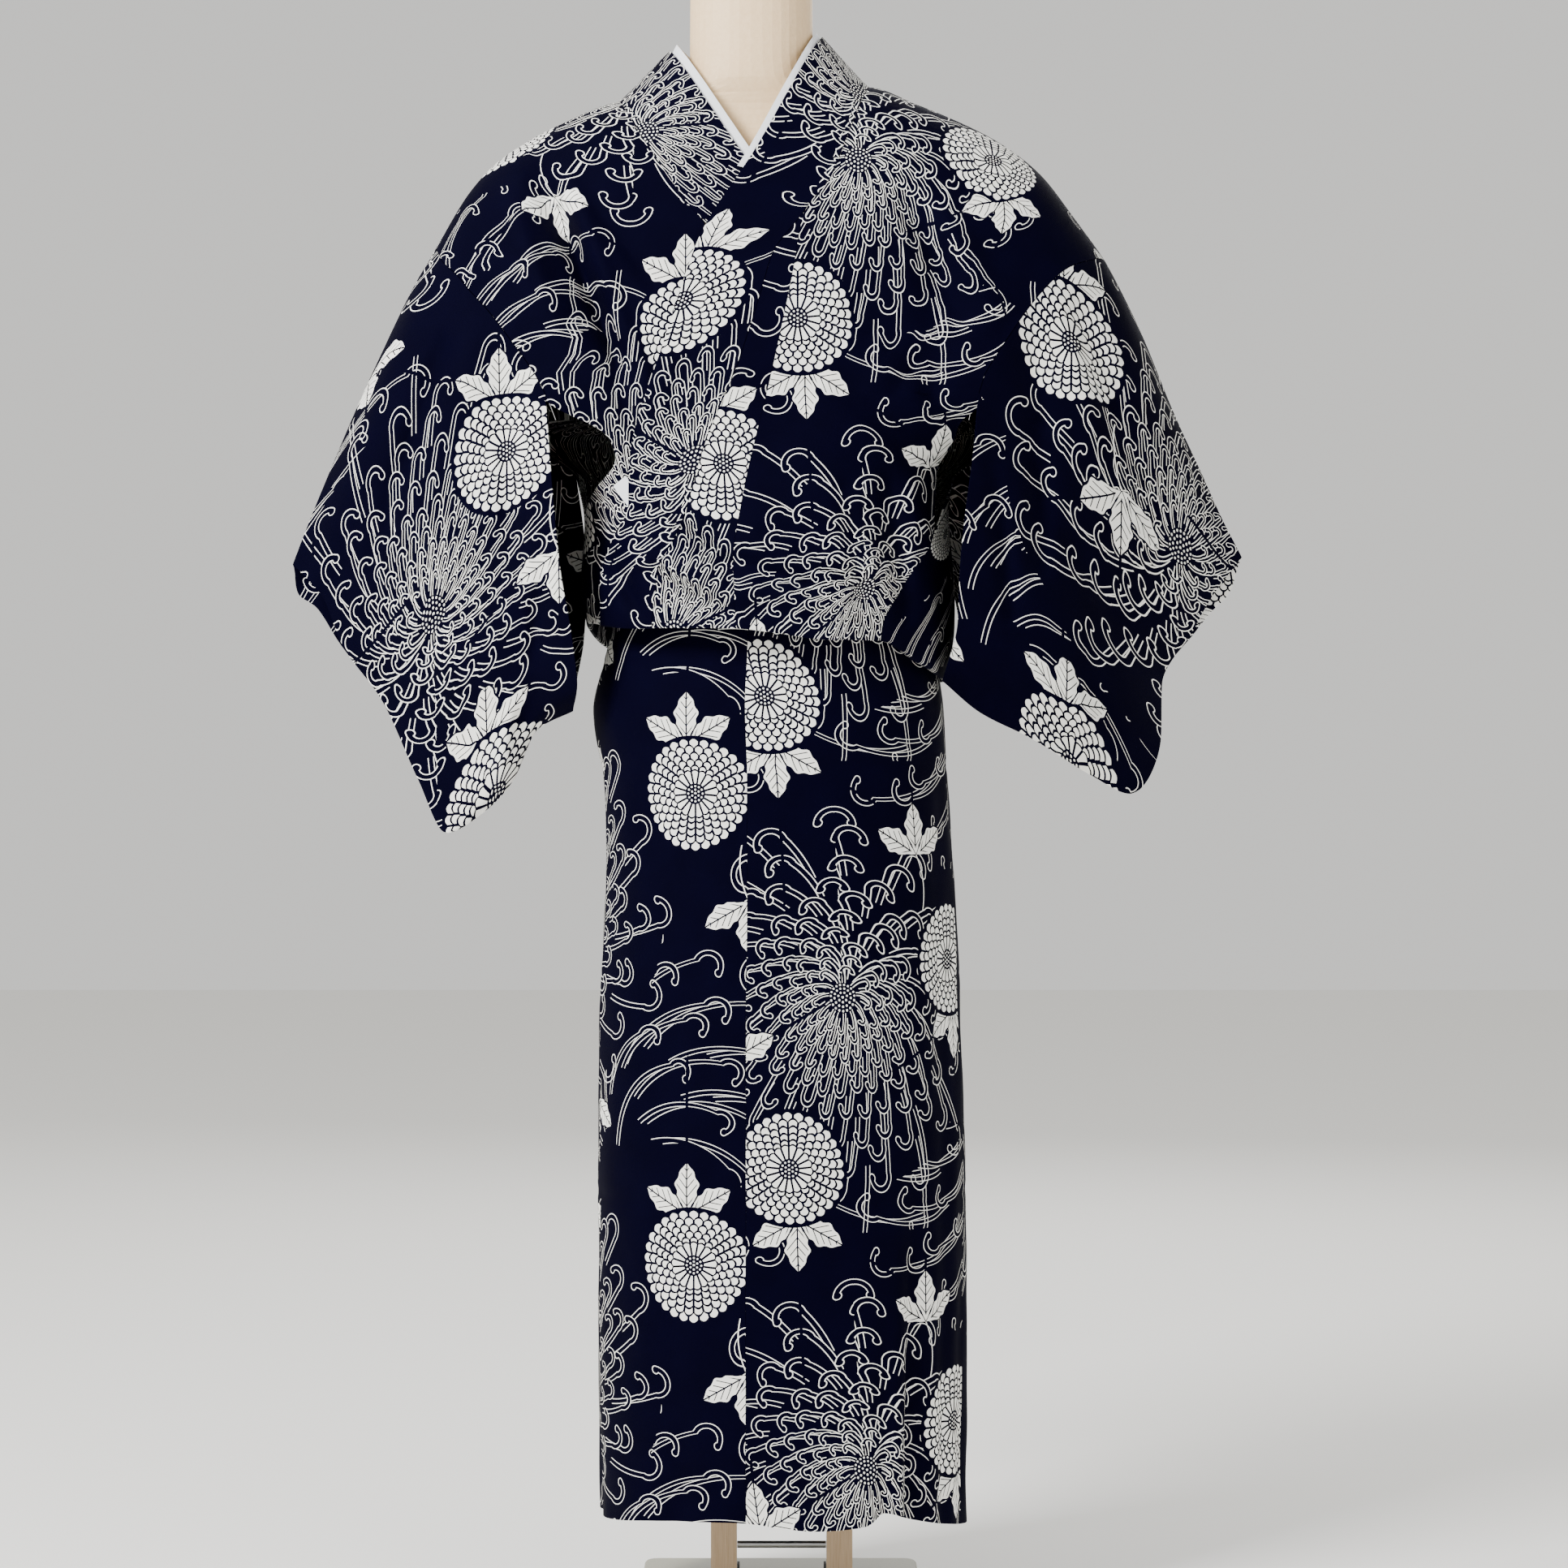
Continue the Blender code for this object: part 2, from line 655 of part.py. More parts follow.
def collar():
    """The collar band with its double fold, and the white half collar that shows inside it."""
    grid = collar_grid()
    first = len(LIP_TURNS) + len(DROPS) + 2
    gaps = np.full(len(grid), SEAM)
    gaps[first + 2 : len(grid) - len(DROPS[:4]) - 4] = NECK_SEAM
    sheet("collar", trimmed(grid, gaps, 0), BAND_WALL)
    white = grid[first : len(grid) - len(DROPS[:4]) - 2]
    along = np.gradient(white[:, -1], axis=0)
    over = white[:, -1] - white[:, -2]
    over /= np.linalg.norm(over, axis=1, keepdims=True)
    inward = np.cross(over, along)
    inward /= np.linalg.norm(inward, axis=1, keepdims=True)
    edge = white[:, -1] + inward * HALF_COLLAR_IN
    up = over + np.clip((edge[:, 2:] - 1.27) / 0.05, 0, 1) * [0, 0, 0.9]
    up /= np.linalg.norm(up, axis=1, keepdims=True)
    show = np.linspace(0.006, 0.009, len(white))[:, None]
    rows = np.stack([edge - over * 0.011, edge - over * 0.002, edge + up * show], 1)
    sheet("half_collar", rows, WHITE_WALL, WHITE, 0.7)


def waist_tie():
    """A flat tie that comes out from under the left front and goes in at the right side opening."""
    grid = []
    for x, z in TIE_LINE:
        line = []
        for across in (-0.5, 0.5):
            at_x, at_z = x + across * TIE_WIDTH * 0.82, z + across * TIE_WIDTH * 0.57
            angle = angle_at(BLOUSE, at_x, at_z, TIE_OUT)
            line.append(blouse(angle, at_z - ARM_Z, TIE_OUT))
        grid.append(line)
    sheet("waist_tie", np.array(grid), WHITE_WALL, WHITE, 0.7)


# ------------------------------------------------------------------ sleeves
SLEEVE_LEFT = table(  # the outer edge in (x, z) from the cuff's top to the inner corner, with its depth
    "part x y z",
    (0.00, 0.398, 0.050, 0.896),
    (0.14, 0.372, 0.050, 0.862),
    (0.25, 0.354, 0.040, 0.831),
    (0.36, 0.327, 0.030, 0.786),
    (0.46, 0.325, 0.020, 0.740),
    (0.56, 0.311, 0.006, 0.702),
    (0.62, 0.297, 0.000, 0.692),
    (0.72, 0.262, -0.020, 0.708),
    (0.84, 0.209, -0.050, 0.739),
    (0.93, 0.166, -0.064, 0.760),
    (1.00, 0.134, -0.078, 0.786),
)
SLEEVE_RIGHT = table(
    "part x y z",
    (0.00, -0.421, 0.050, 0.890),
    (0.14, -0.394, 0.045, 0.861),
    (0.25, -0.377, 0.040, 0.820),
    (0.38, -0.342, 0.033, 0.772),
    (0.50, -0.309, 0.015, 0.704),
    (0.58, -0.284, 0.000, 0.659),
    (0.68, -0.252, -0.012, 0.676),
    (0.78, -0.226, -0.030, 0.702),
    (0.88, -0.203, -0.050, 0.746),
    (1.00, -0.172, -0.070, 0.761),
)
OPEN_LEFT = table(  # the open inner edge, front layer and back layer, from the armhole to the corner
    "part x y z backx backy",
    (0.00, 0.160, -0.115, 1.019, 0.160, 0.115),
    (0.20, 0.156, -0.120, 0.975, 0.163, 0.110),
    (0.42, 0.150, -0.120, 0.925, 0.166, 0.085),
    (0.60, 0.146, -0.112, 0.880, 0.168, 0.050),
    (0.80, 0.145, -0.100, 0.833, 0.162, 0.000),
    (1.00, 0.134, -0.078, 0.786, 0.134, -0.078),
)
OPEN_RIGHT = table(
    "part x y z backx backy",
    (0.00, -0.193, -0.115, 1.024, -0.193, 0.115),
    (0.23, -0.188, -0.120, 0.964, -0.184, 0.106),
    (0.55, -0.180, -0.120, 0.879, -0.181, 0.060),
    (0.77, -0.171, -0.110, 0.824, -0.183, 0.010),
    (0.90, -0.167, -0.095, 0.783, -0.178, -0.035),
    (1.00, -0.172, -0.070, 0.761, -0.172, -0.070),
)


def sleeve(name, hole_front, hole_back, edge, opened, flap, sign):
    """A sleeve bag: two layers joined at the top fold, the lower cuff and the bottom."""
    columns = np.linspace(0, 1, 9)
    drops = np.linspace(0, 1, 8)[1:]
    start_x, end_x = hole_front[0][0], float(edge["x"][0])
    top = []
    for part in columns:
        x = start_x + (end_x - start_x) * part
        y = RIDGE_Y + (float(edge["y"][0]) - RIDGE_Y) * part**1.5
        top.append([x, y, float(read(RIDGE, "x", "z", x))])
    top = np.array(top)
    sides = {}
    for side, hole, axes in (("front", hole_front, "x y z"), ("back", hole_back, "backx backy z")):
        end = hole[-1]
        begin = np.array([float(opened[axis][0]) for axis in axes.split()])
        line = []
        for part in drops:
            point = np.array([float(read(opened, "part", axis, part)) for axis in axes.split()])
            line.append(point + (end - begin) * (1 - part))
        sides[side] = np.concatenate([hole, line])
    lengths = np.concatenate([[0], np.cumsum(np.linalg.norm(np.diff(sides["front"], axis=0), axis=1))])
    down = lengths / lengths[-1]
    cuff = np.array([[float(read(edge, "part", a, CUFF_PART * v)) for a in "xyz"] for v in down])
    bottom_parts = 1 + (CUFF_PART - 1) * columns
    bottom = np.array([[float(read(edge, "part", a, p)) for a in "xyz"] for p in bottom_parts])
    joined = len(hole_front) - 1
    layers = []
    for side, push in (("front", -1), ("back", 1)):
        inner = sides[side]
        outer = cuff.copy()
        spread = np.sin(np.pi * np.clip(np.arange(len(cuff)) / joined, 0, 1))
        outer[:, 1] += push * 0.007 * spread
        if side == "back":
            outer[:, 0] += sign * flap * spread
            outer[:, 2] -= flap * 0.6 * spread
        u, v = columns[None, :, None], down[:, None, None]
        patch = (1 - u) * inner[:, None] + u * outer[:, None] + (1 - v) * top[None] + v * bottom[None]
        patch -= (1 - u) * (1 - v) * top[0] + u * (1 - v) * top[-1]
        patch -= (1 - u) * v * bottom[0] + u * v * bottom[-1]
        swell = np.sin(np.pi * u[..., 0]) * np.sin(np.pi * v[..., 0]) ** 0.8
        patch[..., 1] += push * 0.020 * swell
        layers.append(patch)
    front, back = layers
    rows, count = front.shape[:2]
    points = [front.reshape(-1, 3)]
    number = np.arange(rows * count).reshape(rows, count)
    other = np.full((rows, count), -1)
    other[0], other[-1] = number[0], number[-1]
    other[joined:, -1] = number[joined:, -1]
    fresh = other < 0
    other[fresh] = rows * count + np.arange(fresh.sum())
    points.append(back[fresh])
    points = np.concatenate(points)
    shift = trimmed(front, ARM_SEAM, 0).reshape(-1, 3)
    points[: rows * count] = shift
    quads = []
    for i in range(rows - 1):
        for j in range(count - 1):
            here = (number[i, j], number[i, j + 1], number[i + 1, j + 1], number[i + 1, j])
            there = (other[i, j], other[i + 1, j], other[i + 1, j + 1], other[i, j + 1])
            both = [here, there]
            if (i, j) == (rows - 2, count - 2):
                both = [(a, b, c) for a, b, c, d in both] + [(a, c, d) for a, b, c, d in both]
            quads += both if sign < 0 else [quad[::-1] for quad in both]
    for i in range(1, rows - 1):
        run = points[other[i, 1]] - points[other[i, 0]]
        points[other[i, 0]] += run / np.linalg.norm(run) * ARM_SEAM
    wall(name, points, quads, WALL)


# ------------------------------------------------------------------ skirt
def skirt_panel(name, start, end, inner=False):
    """A panel of the wrap between two turns, from its top down to the hem."""
    stops = [stop - 360 * lap for lap in (0, 1) for stop in SKIRT_STOPS]
    turns = np.array([start] + [stop for stop in stops if end + 1.5 < stop < start - 1.5] + [end], float)
    grid = []
    wrapped = (turns + 180) % 360 - 180
    hem = read(HEM, "angle", "z", wrapped) + (0.004 if inner else 0.0)
    for part in SKIRT_ROWS:
        z = SKIRT_TOP_Z + (hem - SKIRT_TOP_Z) * part
        grid.append(skirt(turns, z, (50 - turns) / 360))
    sheet(name, trimmed(np.array(grid), SEAM, SEAM), WALL)


# Every layer has its upright lines at the same angles, so that layers stay side by side.
SKIRT_STOPS = (50, 46, 42, 38, 33, 27, 20, 12, 4, -3, -10, -17, -25, -34, -43, -52, -62, -74, -84, -95)
SKIRT_STOPS += (-106, -118, -130, -142, -154, -166, -180, -192, -204, -216, -228, -240, -252, -263, -273)
SKIRT_STOPS += (-283, -290, -297, -304)
SKIRT_ROWS = (0, 0.04, 0.10, 0.155, 0.21, 0.27, 0.36, 0.47, 0.58, 0.69, 0.79, 0.88, 0.945, 1)


# ------------------------------------------------------------------ form and stand
FORM = table(
    "z left right front back",
    (0.690, -0.126, 0.116, -0.104, 0.108),
    (0.770, -0.145, 0.125, -0.110, 0.118),
    (0.850, -0.128, 0.119, -0.107, 0.112),
    (0.920, -0.123, 0.112, -0.104, 0.104),
    (0.980, -0.136, 0.116, -0.106, 0.103),
    (1.060, -0.156, 0.128, -0.106, 0.104),
    (1.120, -0.170, 0.138, -0.098, 0.099),
    (1.175, -0.184, 0.150, -0.082, 0.090),
    (1.215, -0.190, 0.158, -0.066, 0.077),
    (1.240, -0.187, 0.157, -0.053, 0.066),
    (1.257, -0.186, 0.156, -0.045, 0.058),
    (1.270, -0.180, 0.150, -0.042, 0.055),
    (1.280, -0.102, 0.066, -0.043, 0.054),
    (1.292, -0.0815, 0.0330, -0.046, 0.053),
    (1.310, -0.0770, 0.0275, -0.047, 0.052),
    (1.388, -0.0765, 0.0270, -0.048, 0.052),
    (1.3965, -0.0735, 0.0240, -0.045, 0.049),
    (1.400, -0.067, 0.0175, -0.039, 0.043),
)


def shoulder_x(z, end):
    """How far out the form may reach at a height, to carry the cloth's shoulder line from below."""
    x = np.linspace(end, -0.03, 400)
    return float(np.interp(z + WALL / 2 + REST, read(RIDGE, "x", "z", x), x))


def form_ring(z, count=40):
    """A rounded ring of the form at one height, turning anticlockwise seen from above."""
    sides = ("left", "right", "front", "back")
    left, right, front, back = (float(read(FORM, "z", side, z)) for side in sides)
    if 1.20 < z < 1.28:
        left, right = max(left, shoulder_x(z, -0.40)), min(right, shoulder_x(z, 0.38))
    turn = np.linspace(0, 2 * math.pi, count, endpoint=False)
    sine, cosine = np.sin(turn), np.cos(turn)
    middle_x, middle_y = (left + right) / 2, (front + back) / 2
    across = np.sign(cosine) * abs(cosine) ** (2 / 2.2) * (right - left) / 2
    along = np.sign(sine) * abs(sine) ** (2 / 2.2) * (back - front) / 2
    return np.stack([middle_x + across, middle_y + along, np.full(count, z)], -1)


def form():
    torso = (0.690, 0.730, 0.770, 0.810, 0.850, 0.890, 0.920, 0.950, 0.980, 1.020, 1.060, 1.095)
    torso += (1.125, FORM_SPLIT_Z)
    yoke = (FORM_SPLIT_Z + GAP, 1.190, 1.215, 1.230, 1.243, 1.252, 1.259, 1.265, 1.271, 1.276, 1.280, 1.286)
    yoke += (1.292, 1.300, 1.310, 1.350, 1.388, 1.3965, 1.400)
    loft("form_torso", [form_ring(z) for z in torso], BLACK, 0.6)
    loft("form_neck", [form_ring(z) for z in yoke], CREAM, 0.6)


def box(name, centre, size, colour, roughness=0.5, metallic=0.0):
    corners = [
        [centre[0] + sx * size[0] / 2, centre[1] + sy * size[1] / 2, 0]
        for sx, sy in ((-1, -1), (1, -1), (1, 1), (-1, 1))
    ]
    rings = []
    for z in (centre[2] - size[2] / 2, centre[2] + size[2] / 2):
        rings.append(np.array(corners) + [0, 0, z])
    return loft(name, rings, colour, roughness, metallic)


def stand():
    width, depth, height = PLATE
    rings = []
    for z, inset in ((0, 0.0008), (0.0008, 0), (height - 0.0015, 0), (height, 0.0015)):
        ring = []
        for sx, sy, first in ((1, 1, 0), (-1, 1, 90), (-1, -1, 180), (1, -1, 270)):
            centre = (sx * (width / 2 - PLATE_CORNER), sy * (depth / 2 - PLATE_CORNER))
            for step in range(5):
                turn = math.radians(first + 22.5 * step)
                radius = PLATE_CORNER - inset
                ring.append([centre[0] + radius * math.cos(turn), centre[1] + radius * math.sin(turn), z])
        rings.append(np.array(ring))
    loft("base_plate", rings, (0.30, 0.30, 0.24), 0.45)
    low, high = height + GAP, FORM_BASE_Z - GAP
    for name, x in (("post_right", POST_X[0]), ("post_left", POST_X[1])):
        box(name, (x, 0, (low + high) / 2), (*POST, high - low), (0.55, 0.36, 0.20), 0.5)
    start, end = POST_X[0] + POST[0] / 2 + GAP, POST_X[1] - POST[0] / 2 - GAP
    turn = np.linspace(0, 2 * math.pi, 14, endpoint=False)
    rings = []
    for x in (start, end):
        rings.append(np.stack([x + 0 * turn, ROD_R * np.cos(turn), ROD_Z + ROD_R * np.sin(turn)], -1))
    loft("cross_rod", rings, (0.75, 0.75, 0.76), 0.3, 1.0)
    for name, x, side in (("foot_bracket_right", POST_X[0], 1), ("foot_bracket_left", POST_X[1], -1)):
        face = x + side * (POST[0] / 2 + GAP)
        bracket(name, face, side, low)


def bracket(name, face, side, low):
    """A bent steel angle beside the foot of a post."""
    across, up, thick, half = 0.014, 0.026, 0.002, 0.006
    outline = [(0, 0), (across, 0), (across, thick), (thick, thick), (thick, up), (0, up)]
    rings = []
    for y in (half, -half) if side > 0 else (-half, half):
        rings.append(np.array([[face + side * x, y, low + z] for x, z in outline]))
    loft(name, rings, BLACK, 0.5)


# ------------------------------------------------------------------ main
for old in list(bpy.data.objects):
    bpy.data.objects.remove(old, do_unlink=True)

left_front, left_back = body_panel("body_left_upper", SEAM_LEFT, ARMHOLE_LEFT, SIDE_LEFT, LAP, 11)
right_front, right_back = body_panel("body_right_upper", SEAM_RIGHT, ARMHOLE_RIGHT, SIDE_RIGHT, 0.0, 10)
strip("overlap_left_upper", (COLLAR_LEFT, "seam"), (SEAM_LEFT, "x"), (0.33, 0.24, 0.12, *DROPS), LAP)
strip("overlap_right_upper", (SEAM_RIGHT, "x"), (COLLAR_RIGHT, "seam"), (0.24, 0.12, *DROPS[:4]), 0.0)
collar()
waist_tie()
sleeve("sleeve_left", left_front, left_back, SLEEVE_LEFT, OPEN_LEFT, 0.010, 1)
sleeve("sleeve_right", right_front, right_back, SLEEVE_RIGHT, OPEN_RIGHT, 0.014, -1)
skirt_panel("overlap_right_skirt", 50, -10, inner=True)
skirt_panel("skirt_front_right", -10, -95, inner=True)
skirt_panel("skirt_back_right", -95, -180)
skirt_panel("skirt_back_left", -180, -283)
skirt_panel("skirt_front_left", -283, -368)
skirt_panel("overlap_left_skirt", -368, -434)
form()
stand()
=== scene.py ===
import math

import bpy
import numpy as np
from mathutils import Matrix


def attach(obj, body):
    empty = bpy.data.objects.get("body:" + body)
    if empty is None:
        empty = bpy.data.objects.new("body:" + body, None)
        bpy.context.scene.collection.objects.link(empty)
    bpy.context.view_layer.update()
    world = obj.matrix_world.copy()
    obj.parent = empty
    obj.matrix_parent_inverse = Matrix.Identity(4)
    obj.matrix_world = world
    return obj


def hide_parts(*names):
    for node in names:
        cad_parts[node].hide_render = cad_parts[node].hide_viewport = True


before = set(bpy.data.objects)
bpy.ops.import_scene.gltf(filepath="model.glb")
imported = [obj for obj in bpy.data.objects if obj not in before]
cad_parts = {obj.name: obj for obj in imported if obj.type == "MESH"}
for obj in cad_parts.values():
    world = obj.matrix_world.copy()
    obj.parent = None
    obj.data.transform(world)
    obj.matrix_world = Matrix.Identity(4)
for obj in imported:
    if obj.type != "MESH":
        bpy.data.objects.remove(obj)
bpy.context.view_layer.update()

# ---- driving sizes, metres and degrees
CLOTH = 0.0011  # one layer of cotton
BAND = 0.0020  # the collar, folded double
WHITE_CLOTH = 0.0008
ARM_SEAM = 0.00030  # gap at an armhole
SEAM = 0.00012  # gap at the other seams
SHARP = 55  # an edge of the cloth that turns more than this is shaded sharp
LAP = 0.006  # the left front lies this far outside the right one
WRAP_FROM = 50  # turn where the skirt's wrap starts
WRAP_RISE = 0.003  # the skirt's wrap moves out this much in a full turn
INNER_HEM_RISE = 0.004
SKIRT_ROWS = 190
SKIRT_STEP = 1.6  # degrees between the skirt's columns
LEAN = 0.061  # the form leans this much to the wearer's right for each metre up
LEAN_FROM_Z = 0.83
SKIRT_TOP_Z = 0.936
TUCK_Z = 0.906  # top of the stretch that is folded up behind the blouse's lower edge
TUCK_OUT = 0.0062
TUCK_SHARE = 0.35  # how much of the lap that stretch keeps
ARM_Z = 1.020  # lower end of the armholes
LIP = 0.0015  # radius of the blouse's lower edge
SQUARE = 2.3  # power of the rounded sections: 2 is an ellipse
RIDGE_Y = 0.010  # the shoulder line
NECK_START = 0.40  # level from which the collar stands round the neck
SETTLING = 14  # rounds that find where a line crosses a row
CUFF_PART = 0.60  # the cuff's share of a sleeve's outer edge
CUFF_SPREAD = 0.007
SLEEVE_SWELL = 0.020
SLEEVE_COLUMNS, SLEEVE_ROWS = 57, 61
TIE_WIDTH = 0.013
TIE_TILT = (0.82, 0.57)  # direction across the tie, in x and z
TIE_OUT = 0.0018
TIE_LINE = ((-0.104, 0.911), (-0.112, 0.921), (-0.119, 0.931), (-0.126, 0.940), (-0.132, 0.949))
HALF_COLLAR_IN = 0.0030
NECK_LEVEL = 0.66  # level of the neck hole's lowest point at the back
NECK_EASE = 0.006
FRONT_Y = 0.03  # points in front of this count as the front when a motif is placed
FAR = 9  # metres, to rule a point out
FLOOR_HALF = 9


def table(columns, *rows):
    """A table as {column: its values}. Its lengths are given in millimetres and come out in metres."""
    names = columns.split()
    units = [1 if name.endswith(("angle", "level", "part")) else 1000 for name in names]
    return dict(zip(names, (np.array(rows, float) / units).T))


def folds(*rows):
    """Soft troughs (depth over 0) and ridges, each along the line from a to b on the front or back."""
    return table("xa za xb zb width depth", *rows)


SKIRT = table(  # half widths to the left and right as seen from the front, half depths
    "z left right front back",
    (70, 152.5, 154.5, 126, 129), (180, 153, 154.5, 126, 129), (360, 153, 154.5, 125, 128.5),
    (500, 152, 149.5, 124, 128), (620, 146, 144, 123, 129), (700, 147.5, 138.5, 122, 130),
    (765, 157, 135, 120, 131), (800, 149, 131, 118, 128), (850, 136, 127, 115, 120),
    (905, 127, 125, 111, 113), (920, 125, 124, 110, 111), (940, 126, 125, 111, 112),
)
BLOUSE = table(
    "z left right front back",
    (770, 158, 134, 139, 140), (800, 161, 137, 141, 142), (830, 163, 141, 142, 143),
    (865, 166, 143, 143, 143), (925, 160, 142, 134, 135), (960, 168, 149, 127, 127),
    (985, 210, 198, 122, 121), (1020, 340, 340, 118, 116), (1060, 340, 340, 118, 116),
)
RIDGE = table(
    "x z",
    (-421, 890), (-397, 946), (-348, 1053), (-314, 1119), (-295, 1149), (-261, 1205), (-237, 1230),
    (-188, 1259), (-137, 1279), (-30, 1292), (75, 1291), (114, 1277), (161, 1257), (190, 1241), (219, 1218),
    (248, 1181), (277, 1140), (304, 1092), (337, 1016), (362, 965), (380, 928), (398, 896),
)
HEM = table(
    "angle z",
    (-180, 80), (-90, 85), (-60, 90), (-38, 96), (-12, 99), (8, 92), (22, 95), (29, 104), (35, 101), (48, 92),
    (62, 85), (90, 76), (180, 80),
)
BLOUSE_EDGE = table(
    "angle z",
    (-180, 800), (-120, 815), (-80, 835), (-45, 828), (-10, 826), (12, 817), (30, 817), (50, 800), (80, 787),
    (130, 790), (180, 800),
)

# The seam lines on the front, seen from the front. Left is the wearer's left, which laps over.
SEAM_LEFT = table(  # collar seam down to the overlap's point, then the overlap's own seam
    "z x",
    (1291, 75), (1238, 56), (1196, 40), (1179, 26), (1167, 19), (1117, 10), (1041, -6), (931, -31),
    (880, -38), (800, -34),
)
SEAM_RIGHT = table(
    "z x",
    (1279, -137), (1242, -118), (1202, -93), (1173, -73), (1160, -62), (1117, -50), (1041, -34), (1000, -28),
    (965, -50), (940, -92), (920, -112), (800, -114),
)
COLLAR_LEFT = table(
    "z seam free",
    (1179, 25.7, -50), (1167, 18, -59), (1133, -7, -73), (1112, -13, -79), (1042, -35, -101),
    (981, -60, -121), (955, -68, -124), (928, -75, -124), (900, -86, -138), (871, -100, -148),
    (810, -106, -148),
)
COLLAR_RIGHT = table(
    "z seam free",
    (1167, -67.5, 8), (1133, -36, 30), (1112, -27, 39), (1042, -5, 61), (985, 19, 83), (930, 35, 96),
)
NECK_LEFT = table(  # the collar's free edge, beside each level of its seam on the front
    "level x y z",
    (1, 37, 4, 1337), (0.84, 32, -24, 1327), (0.7, 21, -48, 1306), (0.58, 6, -68, 1275),
    (0.48, -10, -84, 1243), (0.4, -26, -96, 1211),
)
NECK_RIGHT = table(
    "level x y z",
    (1, -96, 4, 1326), (0.84, -88, -24, 1313), (0.7, -76, -46, 1293), (0.58, -60, -64, 1266),
    (0.48, -43, -78, 1239), (0.4, -26, -90, 1211),
)
NAPE_EDGE = table(  # the collar's free edge round the back, from the wearer's left to the right
    "part x y z",
    (0, 37, 4, 1337), (0.25, 18, 52, 1322), (0.5, -26, 79, 1308), (0.75, -74, 50, 1315), (1, -96, 4, 1326),
)

ARMHOLE_LEFT = table("level x", (0, 160), (0.128, 192), (0.324, 229), (0.6, 262), (1, 281))
ARMHOLE_RIGHT = table("level x", (0, -193), (0.133, -229), (0.3, -261), (0.55, -283), (1, -295))
SIDE_LEFT = table(  # where the front and the back panel end round the body
    "z front_angle back_angle",
    (1020, 27, 152), (1000, 33, 128), (985, 46, 110), (962, 60, 92), (940, 63, 78), (918, 62, 66),
    (905, 60, 60), (863, 41, 41), (824, 31, 31), (770, 31, 31),
)
SIDE_RIGHT = table(
    "z front_angle back_angle",
    (1020, -29, -150), (999, -32, -126), (982, -37, -110), (958, -50, -98), (937, -70, -88), (922, -80, -80),
    (770, -80, -80),
)

# ---- folds: those of the solids, then the creases that only the scene's cloth shows
FRONT_FOLDS = folds(
    (-194, 1193, -160, 1095, 16, 11), (-160, 1095, -130, 1040, 14, 13), (-150, 1215, -125, 1120, 20, -5),
    (100, 1020, 150, 985, 18, 7), (120, 1150, 130, 1040, 18, 7), (-90, 905, -36, 868, 9, 6),
    (-96, 880, -34, 848, 8, -4), (-96, 860, -36, 832, 8, 6), (10, 865, 80, 850, 11, 4),
    (75, 920, 100, 850, 12, 7), (-146, 930, -150, 850, 10, 4),
)
BACK_FOLDS = folds(
    (-190, 1180, -135, 1050, 18, 10), (175, 1190, 125, 1050, 18, 9), (-100, 920, -40, 850, 13, 6),
    (95, 930, 30, 845, 12, 5), (30, 990, 90, 960, 14, 4),
)
SKIRT_FOLDS = table(  # upright folds: angle round the body, height range, width as an angle, depth
    "angle top bottom width_angle depth",
    (44, 420, 50, 7, 13), (24, 300, 50, 11, -6), (-20, 260, 50, 14, -2), (62, 760, 500, 9, 3),
    (-100, 600, 50, 12, 5), (128, 700, 50, 11, 6), (160, 520, 50, 12, -5), (-150, 640, 50, 13, 7),
)


FRONT_CREASES = folds(
    (-204, 1206, -172, 1145, 8, 13), (-172, 1145, -150, 1092, 8, 16), (-150, 1092, -134, 1045, 7, 14),
    (-178, 1206, -140, 1105, 9, -9), (-226, 1190, -188, 1085, 11, -9), (-150, 1175, -100, 1105, 8, 7),
    (-128, 1100, -86, 1010, 8, 7), (-136, 1030, -108, 975, 8, 6), (104, 1180, 150, 1085, 10, 12),
    (134, 1170, 178, 1085, 10, -9), (60, 1085, 140, 1000, 9, 9), (50, 1020, 130, 955, 9, 8),
    (82, 1040, 150, 980, 8, -5), (86, 945, 102, 835, 8, 11), (108, 945, 126, 850, 8, -8),
    (52, 940, 68, 850, 8, 6), (112, 900, 136, 845, 7, 7), (-96, 922, -40, 878, 5.5, 9),
    (-98, 908, -44, 862, 5.5, -5), (-104, 874, -40, 839, 5.5, 9), (-110, 892, -60, 850, 6, -3),
    (-40, 882, 24, 862, 7, 8), (18, 888, 86, 848, 7, 9), (-30, 858, 56, 838, 6, -6),
    (-10, 905, 40, 895, 8, 4), (-152, 905, -118, 850, 8, 9), (-140, 935, -116, 880, 8, -5),
    (-136, 880, -112, 836, 6, 6),
)
BACK_CREASES = folds(
    (-160, 1180, -90, 1060, 10, 8), (165, 1180, 95, 1060, 10, 8), (-120, 1200, -60, 1100, 10, -5),
    (120, 1190, 65, 1110, 10, -4), (-60, 960, -20, 860, 8, 6), (-110, 930, -70, 850, 8, 7),
    (70, 965, 30, 870, 8, 6), (125, 920, 80, 846, 8, 7), (0, 900, 40, 846, 7, -4),
)
SKIRT_CREASES = table(
    "angle top bottom width_angle depth",
    (42, 430, 50, 3, 10), (35, 380, 50, 3.2, -6), (29, 280, 50, 3, 4), (-5, 240, 50, 5, 3),
    (-30, 350, 50, 6, 3), (60, 700, 50, 5, 4), (75, 500, 50, 6, 4), (110, 600, 50, 6, 5),
    (-75, 450, 50, 6, 4), (-125, 500, 50, 6, 5), (178, 450, 50, 5, 5),
)
PRESSED_WIDTH = 0.0035
